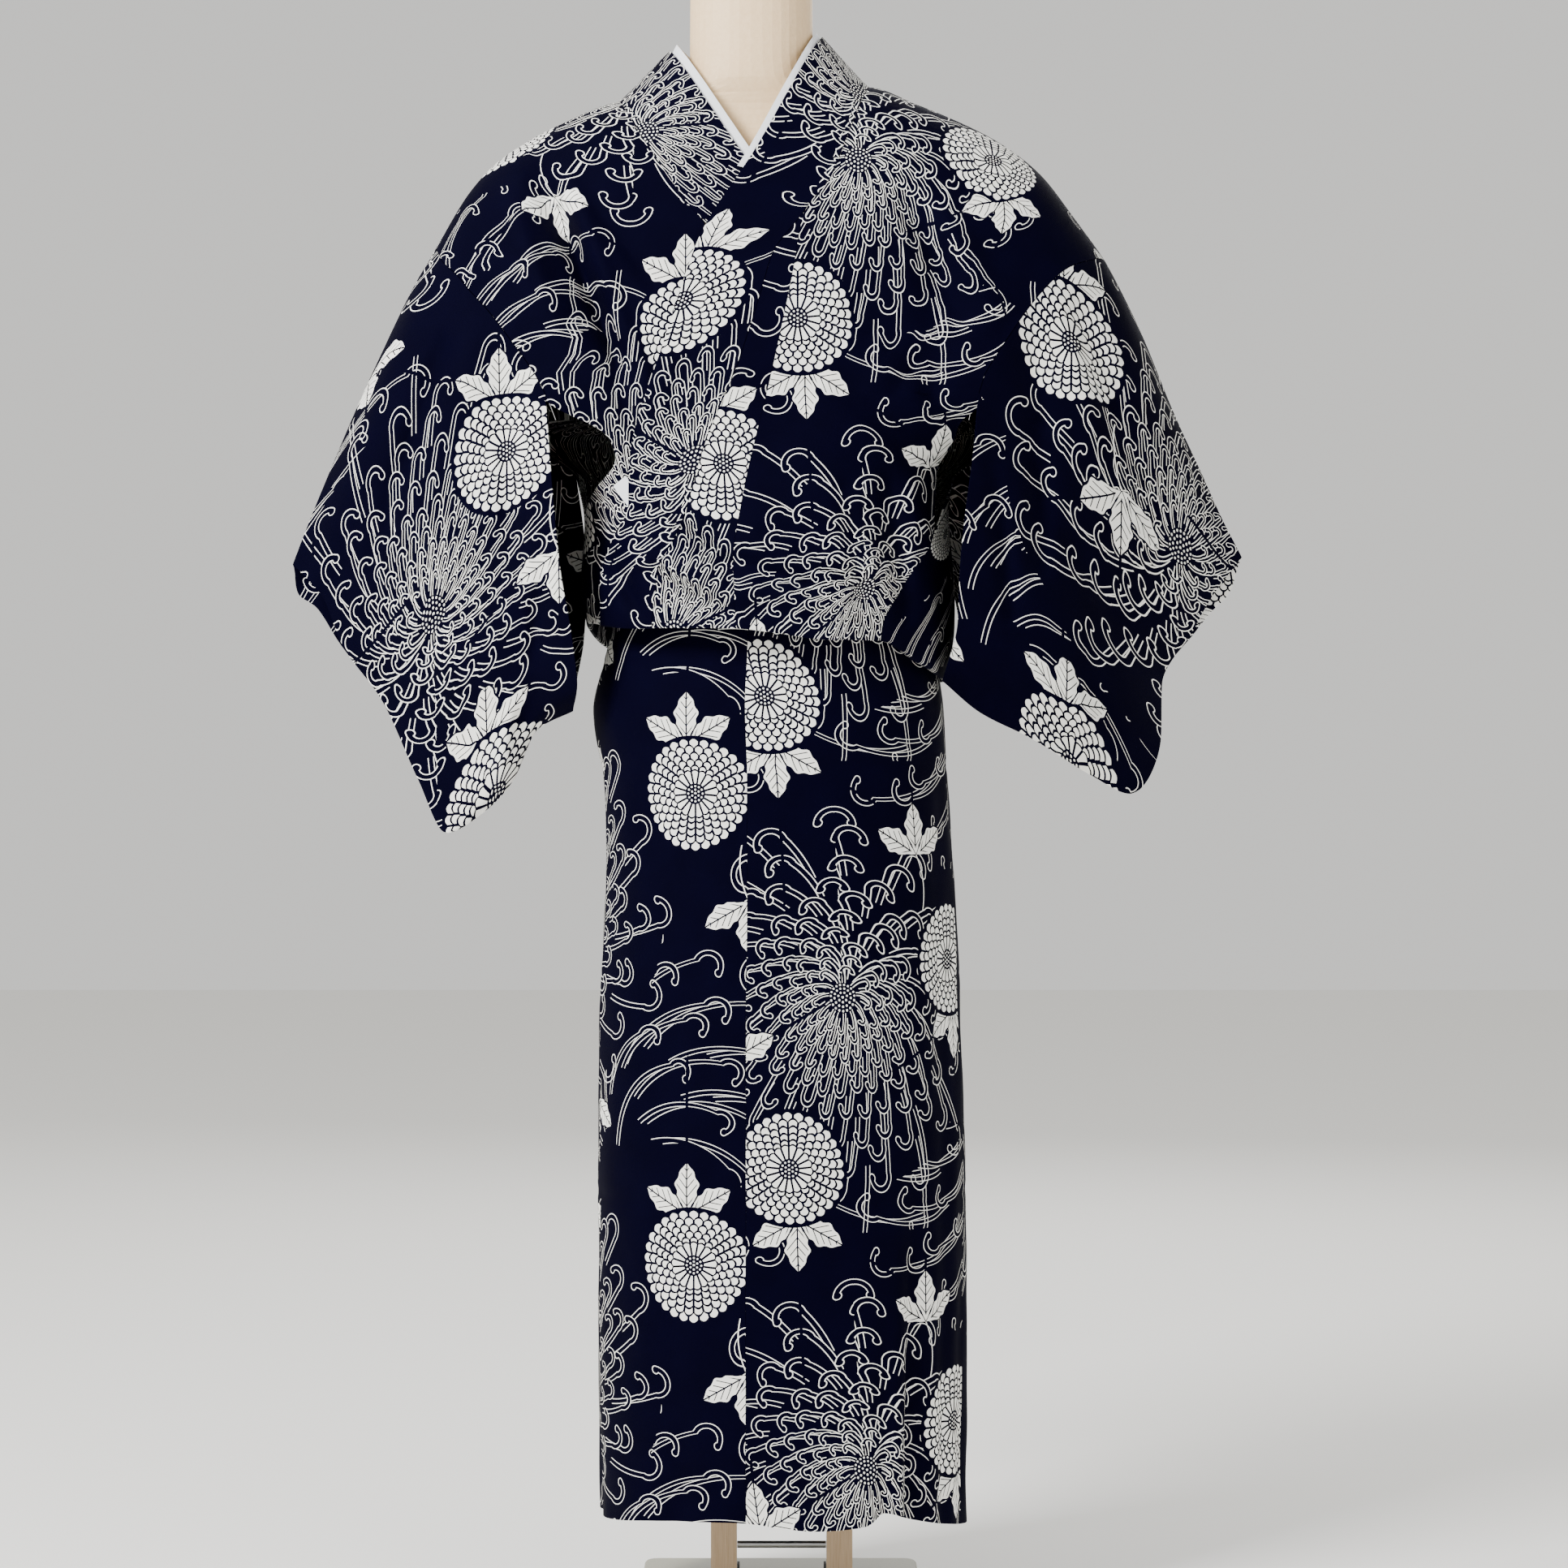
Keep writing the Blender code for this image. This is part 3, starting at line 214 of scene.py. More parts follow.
PRESSED = ((0.800, 0.0006), (0.715, 0.0008), (0.356, 0.0008), (0.540, 0.0004))
SLEEVE_LEFT_FOLDS = {
    "front": folds(
        (252, 784, 280, 746, 7, 7), (236, 790, 262, 752, 6, -4), (190, 1150, 212, 1000, 12, 13),
        (212, 1000, 215, 880, 10, 10), (225, 1120, 262, 990, 11, -7), (245, 1090, 300, 960, 10, 11),
        (300, 960, 325, 870, 9, 7), (172, 960, 190, 840, 8, 9), (240, 900, 290, 830, 9, 6),
    ),
    "back": folds(
        (200, 1120, 230, 960, 14, 8), (270, 1020, 320, 900, 12, 6), (200, 920, 240, 820, 12, 5),
    ),
}
SLEEVE_RIGHT_FOLDS = {
    "front": folds(
        (-224, 762, -236, 704, 6, -7), (-205, 770, -215, 720, 12, 10), (-215, 1140, -225, 1000, 12, 13),
        (-225, 1000, -222, 880, 10, 9), (-240, 1120, -270, 1000, 11, -7), (-280, 1060, -330, 930, 10, 11),
        (-330, 930, -350, 880, 9, 6), (-190, 900, -205, 800, 8, 9), (-260, 880, -300, 810, 9, 6),
    ),
    "back": folds(
        (-230, 1120, -250, 970, 14, 8), (-300, 1020, -340, 900, 12, 6), (-225, 930, -260, 820, 12, 5),
    ),
}


# ---- curves and surfaces
def smooth(knots, values, at):
    """The smooth curve through rising or falling knots that never overshoots its values."""
    knots, values = np.asarray(knots, float), np.asarray(values, float)
    if knots[0] > knots[-1]:
        knots, values = knots[::-1], values[::-1]
    at = np.clip(at, knots[0], knots[-1])
    step = np.diff(knots)
    rate = np.diff(values) / step
    slope = np.empty(len(knots))
    slope[0], slope[-1] = rate[0], rate[-1]
    same = rate[:-1] * rate[1:] > 0
    slope[1:-1] = np.where(same, 2 * rate[:-1] * rate[1:] / np.where(same, rate[:-1] + rate[1:], 1), 0)
    place = np.clip(np.searchsorted(knots, at) - 1, 0, len(step) - 1)
    part = (at - knots[place]) / step[place]
    start = values[place] + step[place] * slope[place] * part * (1 - part) ** 2
    change = values[place + 1] - values[place]
    end = step[place] * slope[place + 1] * part**2 * (part - 1)
    return start + change * part**2 * (3 - 2 * part) + end


def read(rows, key, column, at):
    """A table's column where its key column is this."""
    return smooth(rows[key], rows[column], at)


def half_turn(angle):
    """The angle brought to between -180 and 180."""
    return (np.asarray(angle) + 180) % 360 - 180


def axis_x(z):
    """Middle of the body at a height: the form leans to the wearer's right above the waist."""
    return -LEAN * np.maximum(0, z - LEAN_FROM_Z)


def section(rows, angle, z, out):
    """(x, y) on a rounded section. Angle 0 is the front and +90 is the wearer's left."""
    turn = np.radians(angle)
    sine, cosine = np.sin(turn), np.cos(turn)
    across = np.sign(sine) * abs(sine) ** (2 / SQUARE)
    ahead = np.sign(cosine) * abs(cosine) ** (2 / SQUARE)
    left, right, front, back = (read(rows, "z", side, z) for side in ("left", "right", "front", "back"))
    half = np.where(sine < 0, left, right) + out
    depth = np.where(cosine > 0, front, back) + out
    return axis_x(z) + half * across, -depth * ahead


def angle_at(rows, x, z, out):
    """The angle on the front half of a section where it has this x."""
    offset = x - axis_x(z)
    half = read(rows, "z", "left" if offset < 0 else "right", z) + out
    return math.copysign(math.degrees(math.asin(min(1, abs(offset) / half) ** (SQUARE / 2))), offset)


def fold_depth(rows, x, z):
    """How far the folds press in at (x, z)."""
    x, z = (np.asarray(value)[..., None] for value in np.broadcast_arrays(x, z))
    xa, za, xb, zb, width, depth = (np.asarray(column) for column in rows.values())
    run_x, run_z = xb - xa, zb - za
    part = np.clip(((x - xa) * run_x + (z - za) * run_z) / (run_x**2 + run_z**2), 0, 1)
    away = np.hypot(x - xa - part * run_x, z - za - part * run_z)
    return (depth * np.exp(-((away / width) ** 2)) * (0.55 + 0.45 * np.sin(np.pi * part))).sum(-1)


def ripple(x, y, z):
    """Small uneven waves that cotton keeps after pressing, in metres."""
    wave = np.sin(31 * x + 11 * z + 2 * np.sin(9 * z)) * np.sin(17 * z - 8 * x + 1.3)
    wave = wave + 0.6 * np.sin(57 * x - 23 * z + 3 * np.sin(13 * x + 1)) * np.sin(29 * z + 0.7)
    return 0.0011 * wave + 0.0003 * np.sin(83 * z + 41 * x + 60 * y)


def blouse(angle, level, out):
    """Blouse and shoulders. Level is metres below the armhole line, or 0 to 1 up to the shoulders."""
    angle, level = np.broadcast_arrays(np.asarray(angle, float), np.asarray(level, float))
    base_z = ARM_Z + np.minimum(level, 0)
    x, y = section(BLOUSE, angle, base_z, out)
    climb = np.radians(90 * np.clip(level, 0, 1))
    top = read(RIDGE, "x", "z", x)
    z = base_z + np.where(level > 0, (top - ARM_Z) * np.sin(climb) ** (2 / SQUARE), 0)
    y = RIDGE_Y + (y - RIDGE_Y) * np.cos(climb) ** (2 / SQUARE)
    facing = np.clip(abs(np.cos(np.radians(angle))) * 3, 0, 1) * np.cos(climb)
    ahead, press = abs(angle) < 90, 0
    for front_folds, back_folds in ((FRONT_FOLDS, BACK_FOLDS), (FRONT_CREASES, BACK_CREASES)):
        press = press + np.where(ahead, fold_depth(front_folds, x, z), fold_depth(back_folds, x, z))
    press = press + ripple(x, 0, z)
    y = y + np.where(ahead, 1, -1) * press * facing
    return np.stack([x, y, z], -1)


def skirt(turn, z, part_of_wrap):
    """The skirt's wrap. Turn 0 is the front; it runs on past the back, to -434 at the outer edge."""
    out = WRAP_RISE * part_of_wrap
    x, y = section(SKIRT, turn, z, out)
    at = half_turn(turn)
    press = 0
    for rows in (SKIRT_FOLDS, SKIRT_CREASES):
        for angle, top, bottom, width, depth in zip(*rows.values()):
            away = half_turn(at - angle)
            grown = np.clip((top - z) / (top - bottom), 0, 1)
            press = press + depth * grown**1.3 * np.exp(-((away / width) ** 2))
    for level, depth in PRESSED:
        press = press + depth * np.exp(-(((z - level) / PRESSED_WIDTH) ** 2))
    centre = axis_x(z)
    press = press + ripple(at / 200, 0.2, z) * np.clip((SKIRT_TOP_Z - 0.10 - z) / 0.1, 0, 0.7)
    reach = np.hypot(x - centre, y)
    shrink = 1 - press / reach
    return np.stack([centre + (x - centre) * shrink, y * shrink, z + 0 * x], -1)


# ---- thin shells with the print's coordinates
def put(name, data):
    """A new object in the scene."""
    obj = bpy.data.objects.new(name, data)
    bpy.context.scene.collection.objects.link(obj)
    return obj


def unit(rows):
    return rows / np.linalg.norm(rows, axis=1, keepdims=True)


def crossed(u, v):
    """A grid of the print's coordinates, from u by column and v by row."""
    return np.stack(np.broadcast_arrays(u[None], v[:, None]), -1)


def dense(keys, times):
    """The keys with more steps between each two."""
    keys = np.asarray(keys, float)
    return np.interp(np.arange((len(keys) - 1) * times + 1) / times, np.arange(len(keys)), keys)


def shell(name, points, quads, corners, thickness, material):
    """A closed thin shell on both sides of quads. Corners has the print's (u, v) at each corner."""
    points, quads, corners = np.asarray(points, float), np.asarray(quads), np.asarray(corners, float)
    a, b, c, d = (points[quads[:, k]] for k in range(4))
    face_normals = np.cross(c - a, d - b)
    normals, areas = np.zeros_like(points), np.zeros(len(points))
    around, number = np.zeros_like(points), np.zeros(len(points))
    sizes, middles = np.linalg.norm(face_normals, axis=1), (a + b + c + d) / 4
    for total, shares in ((normals, face_normals), (areas, sizes), (around, middles), (number, 1)):
        for k in range(4):
            np.add.at(total, quads[:, k], shares)
    outward = points - around / np.maximum(number, 1)[:, None]
    folded = np.linalg.norm(normals, axis=1) < 0.45 * areas  # the cloth turns back on itself here
    normals[folded] = outward[folded]
    normals /= np.maximum(np.linalg.norm(normals, axis=1, keepdims=True), 1e-12)
    count = len(points)
    both = np.concatenate([points + normals * thickness / 2, points - normals * thickness / 2])
    faces = quads.tolist() + (quads[:, ::-1] + count).tolist()
    uvs = corners.reshape(-1, 2).tolist() + corners[:, ::-1].reshape(-1, 2).tolist()
    used = {}
    for quad, corner in zip(quads.tolist(), corners.tolist()):
        for k in range(4):
            used[quad[k], quad[(k + 1) % 4]] = (corner[k], corner[(k + 1) % 4])
    for (start, end), (first, second) in used.items():
        if (end, start) not in used and start != end:
            faces.append([end, start, start + count, end + count])
            uvs += [second, first, first, second]
    mesh = bpy.data.meshes.new(name)
    mesh.from_pydata(both.tolist(), [], faces)
    layer = mesh.uv_layers.new(name="print")
    layer.data.foreach_set("uv", np.asarray(uvs, np.float32).reshape(-1))
    mesh.validate()
    mesh.shade_smooth()
    mesh.set_sharp_from_angle(angle=math.radians(SHARP))
    mesh.materials.append(material)
    return put(name, mesh)


def grid_quads(rows, columns):
    """The corners of each quad of a grid, whose points are numbered row by row."""
    i, j = np.mgrid[0 : rows - 1, 0 : columns - 1]
    first = (i * columns + j).reshape(-1)
    return np.stack([first, first + 1, first + columns + 1, first + columns], -1)


def sheet(name, grid, plan, thickness, material, turned=False):
    """A shell on a grid of points, with the same grid of the print's coordinates."""
    grid, plan = np.asarray(grid, float), np.asarray(plan, float)
    if turned:
        grid, plan = grid[:, ::-1], plan[:, ::-1]
    quads = grid_quads(*grid.shape[:2])
    return shell(name, grid.reshape(-1, 3), quads, plan.reshape(-1, 2)[quads], thickness, material)


def trimmed(grid, first, last):
    """The grid with its first and last columns drawn in from their seam lines."""
    grid = np.array(grid, float)
    for edge, inner, gap in ((0, 1, first), (-1, -2, last)):
        run = grid[:, inner] - grid[:, edge]
        length = np.maximum(np.linalg.norm(run, axis=1, keepdims=True), 1e-9)
        gap = np.broadcast_to(gap, len(grid))[:, None]
        grid[:, edge] += run / length * np.minimum(gap, 0.4 * length)
    return grid


def along(points):
    """Length along a line of points, from 0."""
    return np.concatenate([[0], np.cumsum(np.linalg.norm(np.diff(points, axis=0), axis=1))])


def across_plan(grid, starts):
    """u for each point of a grid: the length along its row, on from the row's start."""
    steps = np.linalg.norm(np.diff(grid, axis=1), axis=2)
    lengths = np.concatenate([np.zeros((len(grid), 1)), np.cumsum(steps, axis=1)], 1)
    return lengths + np.asarray(starts)[:, None]


def fall_of(grid):
    """For each point of a grid, the length in y and z down its column."""
    steps = np.hypot(*np.moveaxis(np.diff(grid, axis=0)[..., 1:], -1, 0))
    return np.concatenate([np.zeros((1, grid.shape[1])), np.cumsum(steps, axis=0)])


def placed(grid, plan, rule):
    """The plan moved so that a motif of the print lies where this panel shows it.

    A rule is (x, z, motif's place in the tile, turned half round, on the back).
    """
    x, z, motif, turned_round, on_back = rule
    side = grid[..., 1] > 0 if on_back else grid[..., 1] < FRONT_Y
    away = np.hypot(grid[..., 0] - x, grid[..., 2] - z) + np.where(side, 0, FAR)
    found = plan[np.unravel_index(np.argmin(away), away.shape)]
    return np.asarray(motif) + (found - plan if turned_round else plan - found)


# ---- blouse: panels, overlaps, collar
# A row of the blouse has a key: 0 to 1 up to the shoulders, 0 to -1 down to the lower edge.
RISES = (0.12, 0.24, 0.33, 0.40, 0.48, 0.58, 0.70, 0.84, 1.0)
BACK_RISES = (0.94, 0.87, 0.80, 0.73, 0.68, NECK_LEVEL - NECK_EASE, 0.42, 0.20)
NAPE_RISES = (0.94, 0.87, 0.80, 0.73, 0.68, NECK_LEVEL)
DROPS = (0.0, -0.10, -0.22, -0.34, -0.46, -0.58, -0.70, -0.81, -0.91, -1.0)
LIP_TURNS = (60, 120, 180)


def edge_height(angles):
    return read(BLOUSE_EDGE, "angle", "z", half_turn(angles))


def row(angles, key, out):
    """The points of a row of the blouse at these angles."""
    if key > 0:
        return blouse(angles, key, out)
    return blouse(angles, -key * (edge_height(angles) + LIP - ARM_Z), out)


def settled(angle, key, out, angle_for):
    """The angle on a row that is also the one for the row's height there."""
    for _ in range(SETTLING):
        angle = angle_for(float(row(np.array([angle]), key, out)[0, 2]))
    return angle


def line_angle(rows, column, key, out):
    """The angle on a row where it crosses a line that a table gives as x by height."""

    def angle_for(z):
        return angle_at(BLOUSE, float(read(rows, "z", column, z)), min(z, ARM_Z), out)

    return settled(0.0, key, out, angle_for)


def side_angle(rows, column, key, out):
    """The angle where a panel ends on a row below the armhole."""
    return settled(float(rows[column][0]), key, out, lambda z: float(read(rows, "z", column, z)))


def lip_rows(angles, out):
    """The lower edge, turned under."""
    rows = []
    for turn in LIP_TURNS:
        swing = math.radians(turn)
        z = edge_height(angles) + LIP * (1 - math.sin(swing))
        rows.append(blouse(angles, z - ARM_Z, out - LIP * (1 - math.cos(swing))))
    return rows


def tuck_rows(angles, out):
    """The lip, and the stretch folded up behind it to the top of the skirt."""
    rows = lip_rows(angles, out)
    x, y = section(SKIRT, angles, TUCK_Z, TUCK_OUT + TUCK_SHARE * out)
    top = np.stack([x, y, TUCK_Z + 0 * x], -1)
    return rows + [rows[-1] + (top - rows[-1]) * 0.5, top]


def neck_angle(seam, key, out, back_centre, lowest):
    """Where the edge of the neck hole, or the centre back seam below it, lies on a row of the back."""
    if key <= lowest:
        return back_centre
    shoulder = 180 - abs(angle_at(BLOUSE, float(seam["x"][0]), ARM_Z, out))
    part = (1 - key) / (1 - lowest)
    return math.copysign(180 - (180 - shoulder) * math.sqrt(1 - part**2), back_centre)


def panel_end(armhole, side, key, out, back):
    """The angle where a body panel ends on a row: at the armhole, or at its side edge below that."""
    if key <= 0:
        return side_angle(side, "back_angle" if back else "front_angle", key, out)
    angle = angle_at(BLOUSE, float(read(armhole, "level", "x", key)), ARM_Z, out)
    return math.copysign(180, angle) - angle if back else angle


def lift(angles, out):
    """How far out a back row lies: the left panels come down to the right ones at the back's seam."""
    return out * np.clip((180 - abs(np.asarray(angles))) / 90, 0, 1)


FINE = 4  # each step of the keys is divided into this many rows


def row_start(angle, key, out, centre):
    """Signed length along a row from the middle of the front or back to this angle."""
    line = row(centre + (angle - centre) * np.linspace(0, 1, 14), key, out)
    return math.copysign(along(line)[-1], angle - centre)


def body_panel(name, seam, armhole, side, out, columns, rule, back_rule):
    """One width of cloth: front edge to shoulder to back edge, with its half of the neck hole."""
    part = np.linspace(0, 1, columns)
    closing = part / 2 + np.sin(part * math.pi / 2) / 2
    centre = math.copysign(180, side["back_angle"][0])
    sign = math.copysign(1, centre)
    grid, starts, holes = [], [], []
    for key in dense(DROPS[::-1] + RISES, FINE):
        inner = line_angle(seam, "x", key, out)
        end = panel_end(armhole, side, key, out, False)
        angles = inner + (end - inner) * part
        if key == -1:
            below = tuck_rows(angles, out)[::-1]
            grid += below
            starts += [row_start(inner, key, out, 0) * sign] * len(below)
        if key >= 0:
            holes.append(len(grid))
        grid.append(row(angles, key, out))
        starts.append(row_start(inner, key, out, 0) * sign)
    turn = len(grid) - 1
    lowest = NECK_LEVEL - NECK_EASE
    for key in dense((1.0,) + BACK_RISES + DROPS, FINE)[1:]:
        inner = neck_angle(seam, key, out, centre, lowest) if key > 0 else centre
        end = panel_end(armhole, side, key, out, True)
        ease = np.clip(1 - key / 0.2, 0, 1)
        angles = inner + (end - inner) * (part + (closing - part) * ease)
        if key >= 0:
            holes.append(len(grid))
        grid.append(row(angles, key, lift(angles, out)))
        starts.append(abs(row_start(inner, key, out, centre)))
    below = tuck_rows(angles, lift(angles, out))
    grid += below
    starts += [starts[-1]] * len(below)
    grid = np.array(grid)
    u = across_plan(grid, np.array(starts)) * sign
    v = fall_of(grid)
    v += ARM_Z - v[holes[0]]
    flat = np.stack([u, v], -1)
    plan = placed(grid, flat, rule)
    plan[turn + 1 :] = placed(grid, flat, back_rule)[turn + 1 :]
    made = sheet(name, trimmed(grid, SEAM, ARM_SEAM), plan, CLOTH, navy, turned=centre > 0)
    top = holes.index(turn)
    return made, grid[holes[: top + 1], -1][::-1], grid[holes[top:], -1]


def strip(name, first, second, keys, out, rule, columns=26):
    """An overlap: a strip of the front between two lines, each (table, column)."""
    part = np.linspace(0, 1, columns)
    grid, starts = [], []
    for key in dense(keys, FINE):
        start, end = (line_angle(*line, key, out) for line in (first, second))
        angles = start + (end - start) * part
        grid.append(row(angles, key, out))
        starts.append(row_start(start, key, out, 0))
    if keys[-1] == -1:
        below = tuck_rows(angles, out)
        grid += below
        starts += [starts[-1]] * len(below)
    grid = np.array(grid)
    v = np.broadcast_to(grid[..., 2].mean(axis=1, keepdims=True), grid.shape[:2])
    plan = placed(grid, np.stack([across_plan(grid, starts), v], -1), rule)
    return sheet(name, trimmed(grid, SEAM, SEAM), plan, CLOTH, navy, turned=True)


COLLAR_POINTS = 14  # across the collar
EVENED = 10  # rounds of smoothing along the collar


def standing(low, rows, key_column, key):
    """A line of the collar from its seam up to its free edge, where it stands round the neck."""
    high = np.array([float(read(rows, key_column, axis, key)) for axis in "xyz"])
    return low + (high - low) * np.linspace(0, 1, COLLAR_POINTS)[:, None]


def nape_row(key, seam, out, centre):
    """A line of the collar behind the neck, at the same row of the back as the neck hole's edge."""
    angle = neck_angle(seam, key, out, centre, NECK_LEVEL)
    part = math.asin((1 - key) / (1 - NECK_LEVEL)) / math.pi
    return standing(row(angle, key, lift(angle, out)), NAPE_EDGE, "part", part if centre > 0 else 1 - part)


def lying_angles(collar_rows, key, out):
    """The angles of a line of the collar where it lies on the chest."""
    start, end = (line_angle(collar_rows, side, key, out) for side in ("seam", "free"))
    return start + (end - start) * np.linspace(0, 1, COLLAR_POINTS)


def front_row(seam, collar_rows, neck, key, out):
    """A line of the collar on the front: standing near the neck, and lying on the chest below."""
    if key >= NECK_START:
        return standing(row(line_angle(seam, "x", key, out), key, out), neck, "level", key)
    last = RISES[RISES.index(NECK_START) - 1]
    if key <= last:
        return row(lying_angles(collar_rows, key, out), key, out)
    low = row(lying_angles(collar_rows, last, out), last, out)
    high = front_row(seam, collar_rows, neck, NECK_START, out)
    line = low + (high - low) * (key - last) / (NECK_START - last)
    seam_point = row(line_angle(seam, "x", key, out), key, out)
    return line + (seam_point - line[0]) * np.linspace(1, 0, COLLAR_POINTS)[:, None]


def evened(grid, times, first, last):
    """The grid with its lines smoothed along their length, apart from the seam side."""
    grid = grid.copy()
    hold = np.linspace(0, 1, grid.shape[1])[None, :, None] ** 0.5
    for _ in range(times):
        middle = (grid[first - 1 : last - 1] + 2 * grid[first:last] + grid[first + 1 : last + 1]) / 4
        grid[first:last] += (middle - grid[first:last]) * hold
    return grid


def collar_grid():
    """Lines across the collar, from the left front's lower end round the neck to the right's."""
    lines = lip_rows(lying_angles(COLLAR_LEFT, -1, LAP), LAP)[::-1]
    for key in dense(DROPS[::-1] + RISES, FINE):
        lines.append(front_row(SEAM_LEFT, COLLAR_LEFT, NECK_LEFT, key, LAP))
    lines += [nape_row(key, SEAM_LEFT, LAP, 180) for key in dense((1.0, *NAPE_RISES), FINE)[1:]]
    lines += [nape_row(key, SEAM_RIGHT, 0.0, -180) for key in dense(NAPE_RISES[::-1] + (1.0,), FINE)[1:-1]]
    keys = dense(RISES[::-1] + DROPS[:4], FINE)
    lines += [front_row(SEAM_RIGHT, COLLAR_RIGHT, NECK_RIGHT, key, 0.0) for key in keys]
    return np.array(lines)


def collar():
    """The collar band with its double fold, and the white half collar that shows inside it."""
    grid = collar_grid()
    left = len(LIP_TURNS) + (len(DROPS) - 1) * FINE
    right = len(grid) - 1 - 3 * FINE
    grid = evened(grid, EVENED, left, right)
    lengths = along(grid[:, COLLAR_POINTS // 2])
    u = along(grid[len(grid) // 2])
    plan = crossed(u, lengths)
    band = sheet("collar_cloth", trimmed(grid, SEAM, 0), placed(grid, plan, COLLAR_RULE), BAND, navy)
    white = grid[left + 4 * FINE : right - FINE]
    run = np.gradient(white[:, -1], axis=0)
    over = unit(white[:, -1] - white[:, -4])
    edge = white[:, -1] + unit(np.cross(over, run)) * HALF_COLLAR_IN
    # High on the neck the half collar stands straighter.
    up = unit(over + np.clip((edge[:, 2:] - 1.27) / 0.05, 0, 1) * [0, 0, 0.9])
    show = np.linspace(0.006, 0.009, len(white))[:, None]
    rows = [edge - over * reach for reach in (0.011, 0.008, 0.005, 0.002)]
    rows += [edge + (up * show + over * 0.002) * part - over * 0.002 for part in (0.25, 0.5, 0.75, 0.9, 1)]
    rows = np.stack(rows, 1)
    plan = crossed(np.linspace(0, 0.02, 9), along(white[:, -1]))
    inner = sheet("half_collar_cloth", rows, plan, WHITE_CLOTH, white_cotton)
    return band, inner


def waist_tie():
    """A flat tie that comes out from under the left front and goes in at the right side opening."""
    line = np.array(TIE_LINE)
    line = np.stack([np.interp(np.linspace(0, 4, 33), range(5), line[:, k]) for k in (0, 1)], -1)
    grid = []
    for x, z in line:
        across = []
        for part in np.linspace(-0.5, 0.5, 9):
            at_x, at_z = x + part * TIE_WIDTH * TIE_TILT[0], z + part * TIE_WIDTH * TIE_TILT[1]
            angle = angle_at(BLOUSE, at_x, at_z, TIE_OUT)
            across.append(blouse(angle, at_z - ARM_Z, TIE_OUT + 0.0005 * math.cos(part * math.pi)))
        grid.append(across)
    grid = np.array(grid)
    plan = crossed(np.linspace(0, TIE_WIDTH, 9), along(grid[:, 4]))
    return sheet("waist_tie_cloth", grid, plan, WHITE_CLOTH, white_cotton)


SLEEVE_LEFT = table(  # the outer edge in (x, z) from the cuff's top to the inner corner, with its depth
    "part x y z",
    (0, 398, 50, 896), (0.14, 372, 50, 862), (0.25, 354, 40, 831), (0.36, 327, 30, 786), (0.46, 325, 20, 740),
    (0.56, 311, 6, 702), (0.62, 297, 0, 692), (0.72, 262, -20, 708), (0.84, 209, -50, 739),
    (0.93, 166, -64, 760), (1, 134, -78, 786),
)
SLEEVE_RIGHT = table(
    "part x y z",
    (0, -421, 50, 890), (0.14, -394, 45, 861), (0.25, -377, 40, 820), (0.38, -342, 33, 772),
    (0.5, -309, 15, 704), (0.58, -284, 0, 659), (0.68, -252, -12, 676), (0.78, -226, -30, 702),
    (0.88, -203, -50, 746), (1, -172, -70, 761),
)
OPEN_LEFT = table(  # the open inner edge, front layer and back layer, from the armhole to the corner
    "part x y z backx backy",
    (0, 160, -115, 1019, 160, 115), (0.08, 158, -117, 1001, 150, 112), (0.2, 156, -120, 975, 141, 106),
    (0.42, 150, -120, 925, 144, 90), (0.6, 146, -112, 880, 146, 68), (0.8, 145, -100, 833, 152, 20),
    (1, 134, -78, 786, 134, -78),
)
OPEN_RIGHT = table(
    "part x y z backx backy",
    (0, -193, -115, 1024, -193, 115), (0.08, -191, -117, 1003, -184, 112), (0.23, -188, -120, 964, -174, 104),
    (0.55, -180, -120, 879, -166, 76), (0.77, -171, -110, 824, -168, 40), (0.9, -167, -95, 783, -172, -20),
    (1, -172, -70, 761, -172, -70),
)


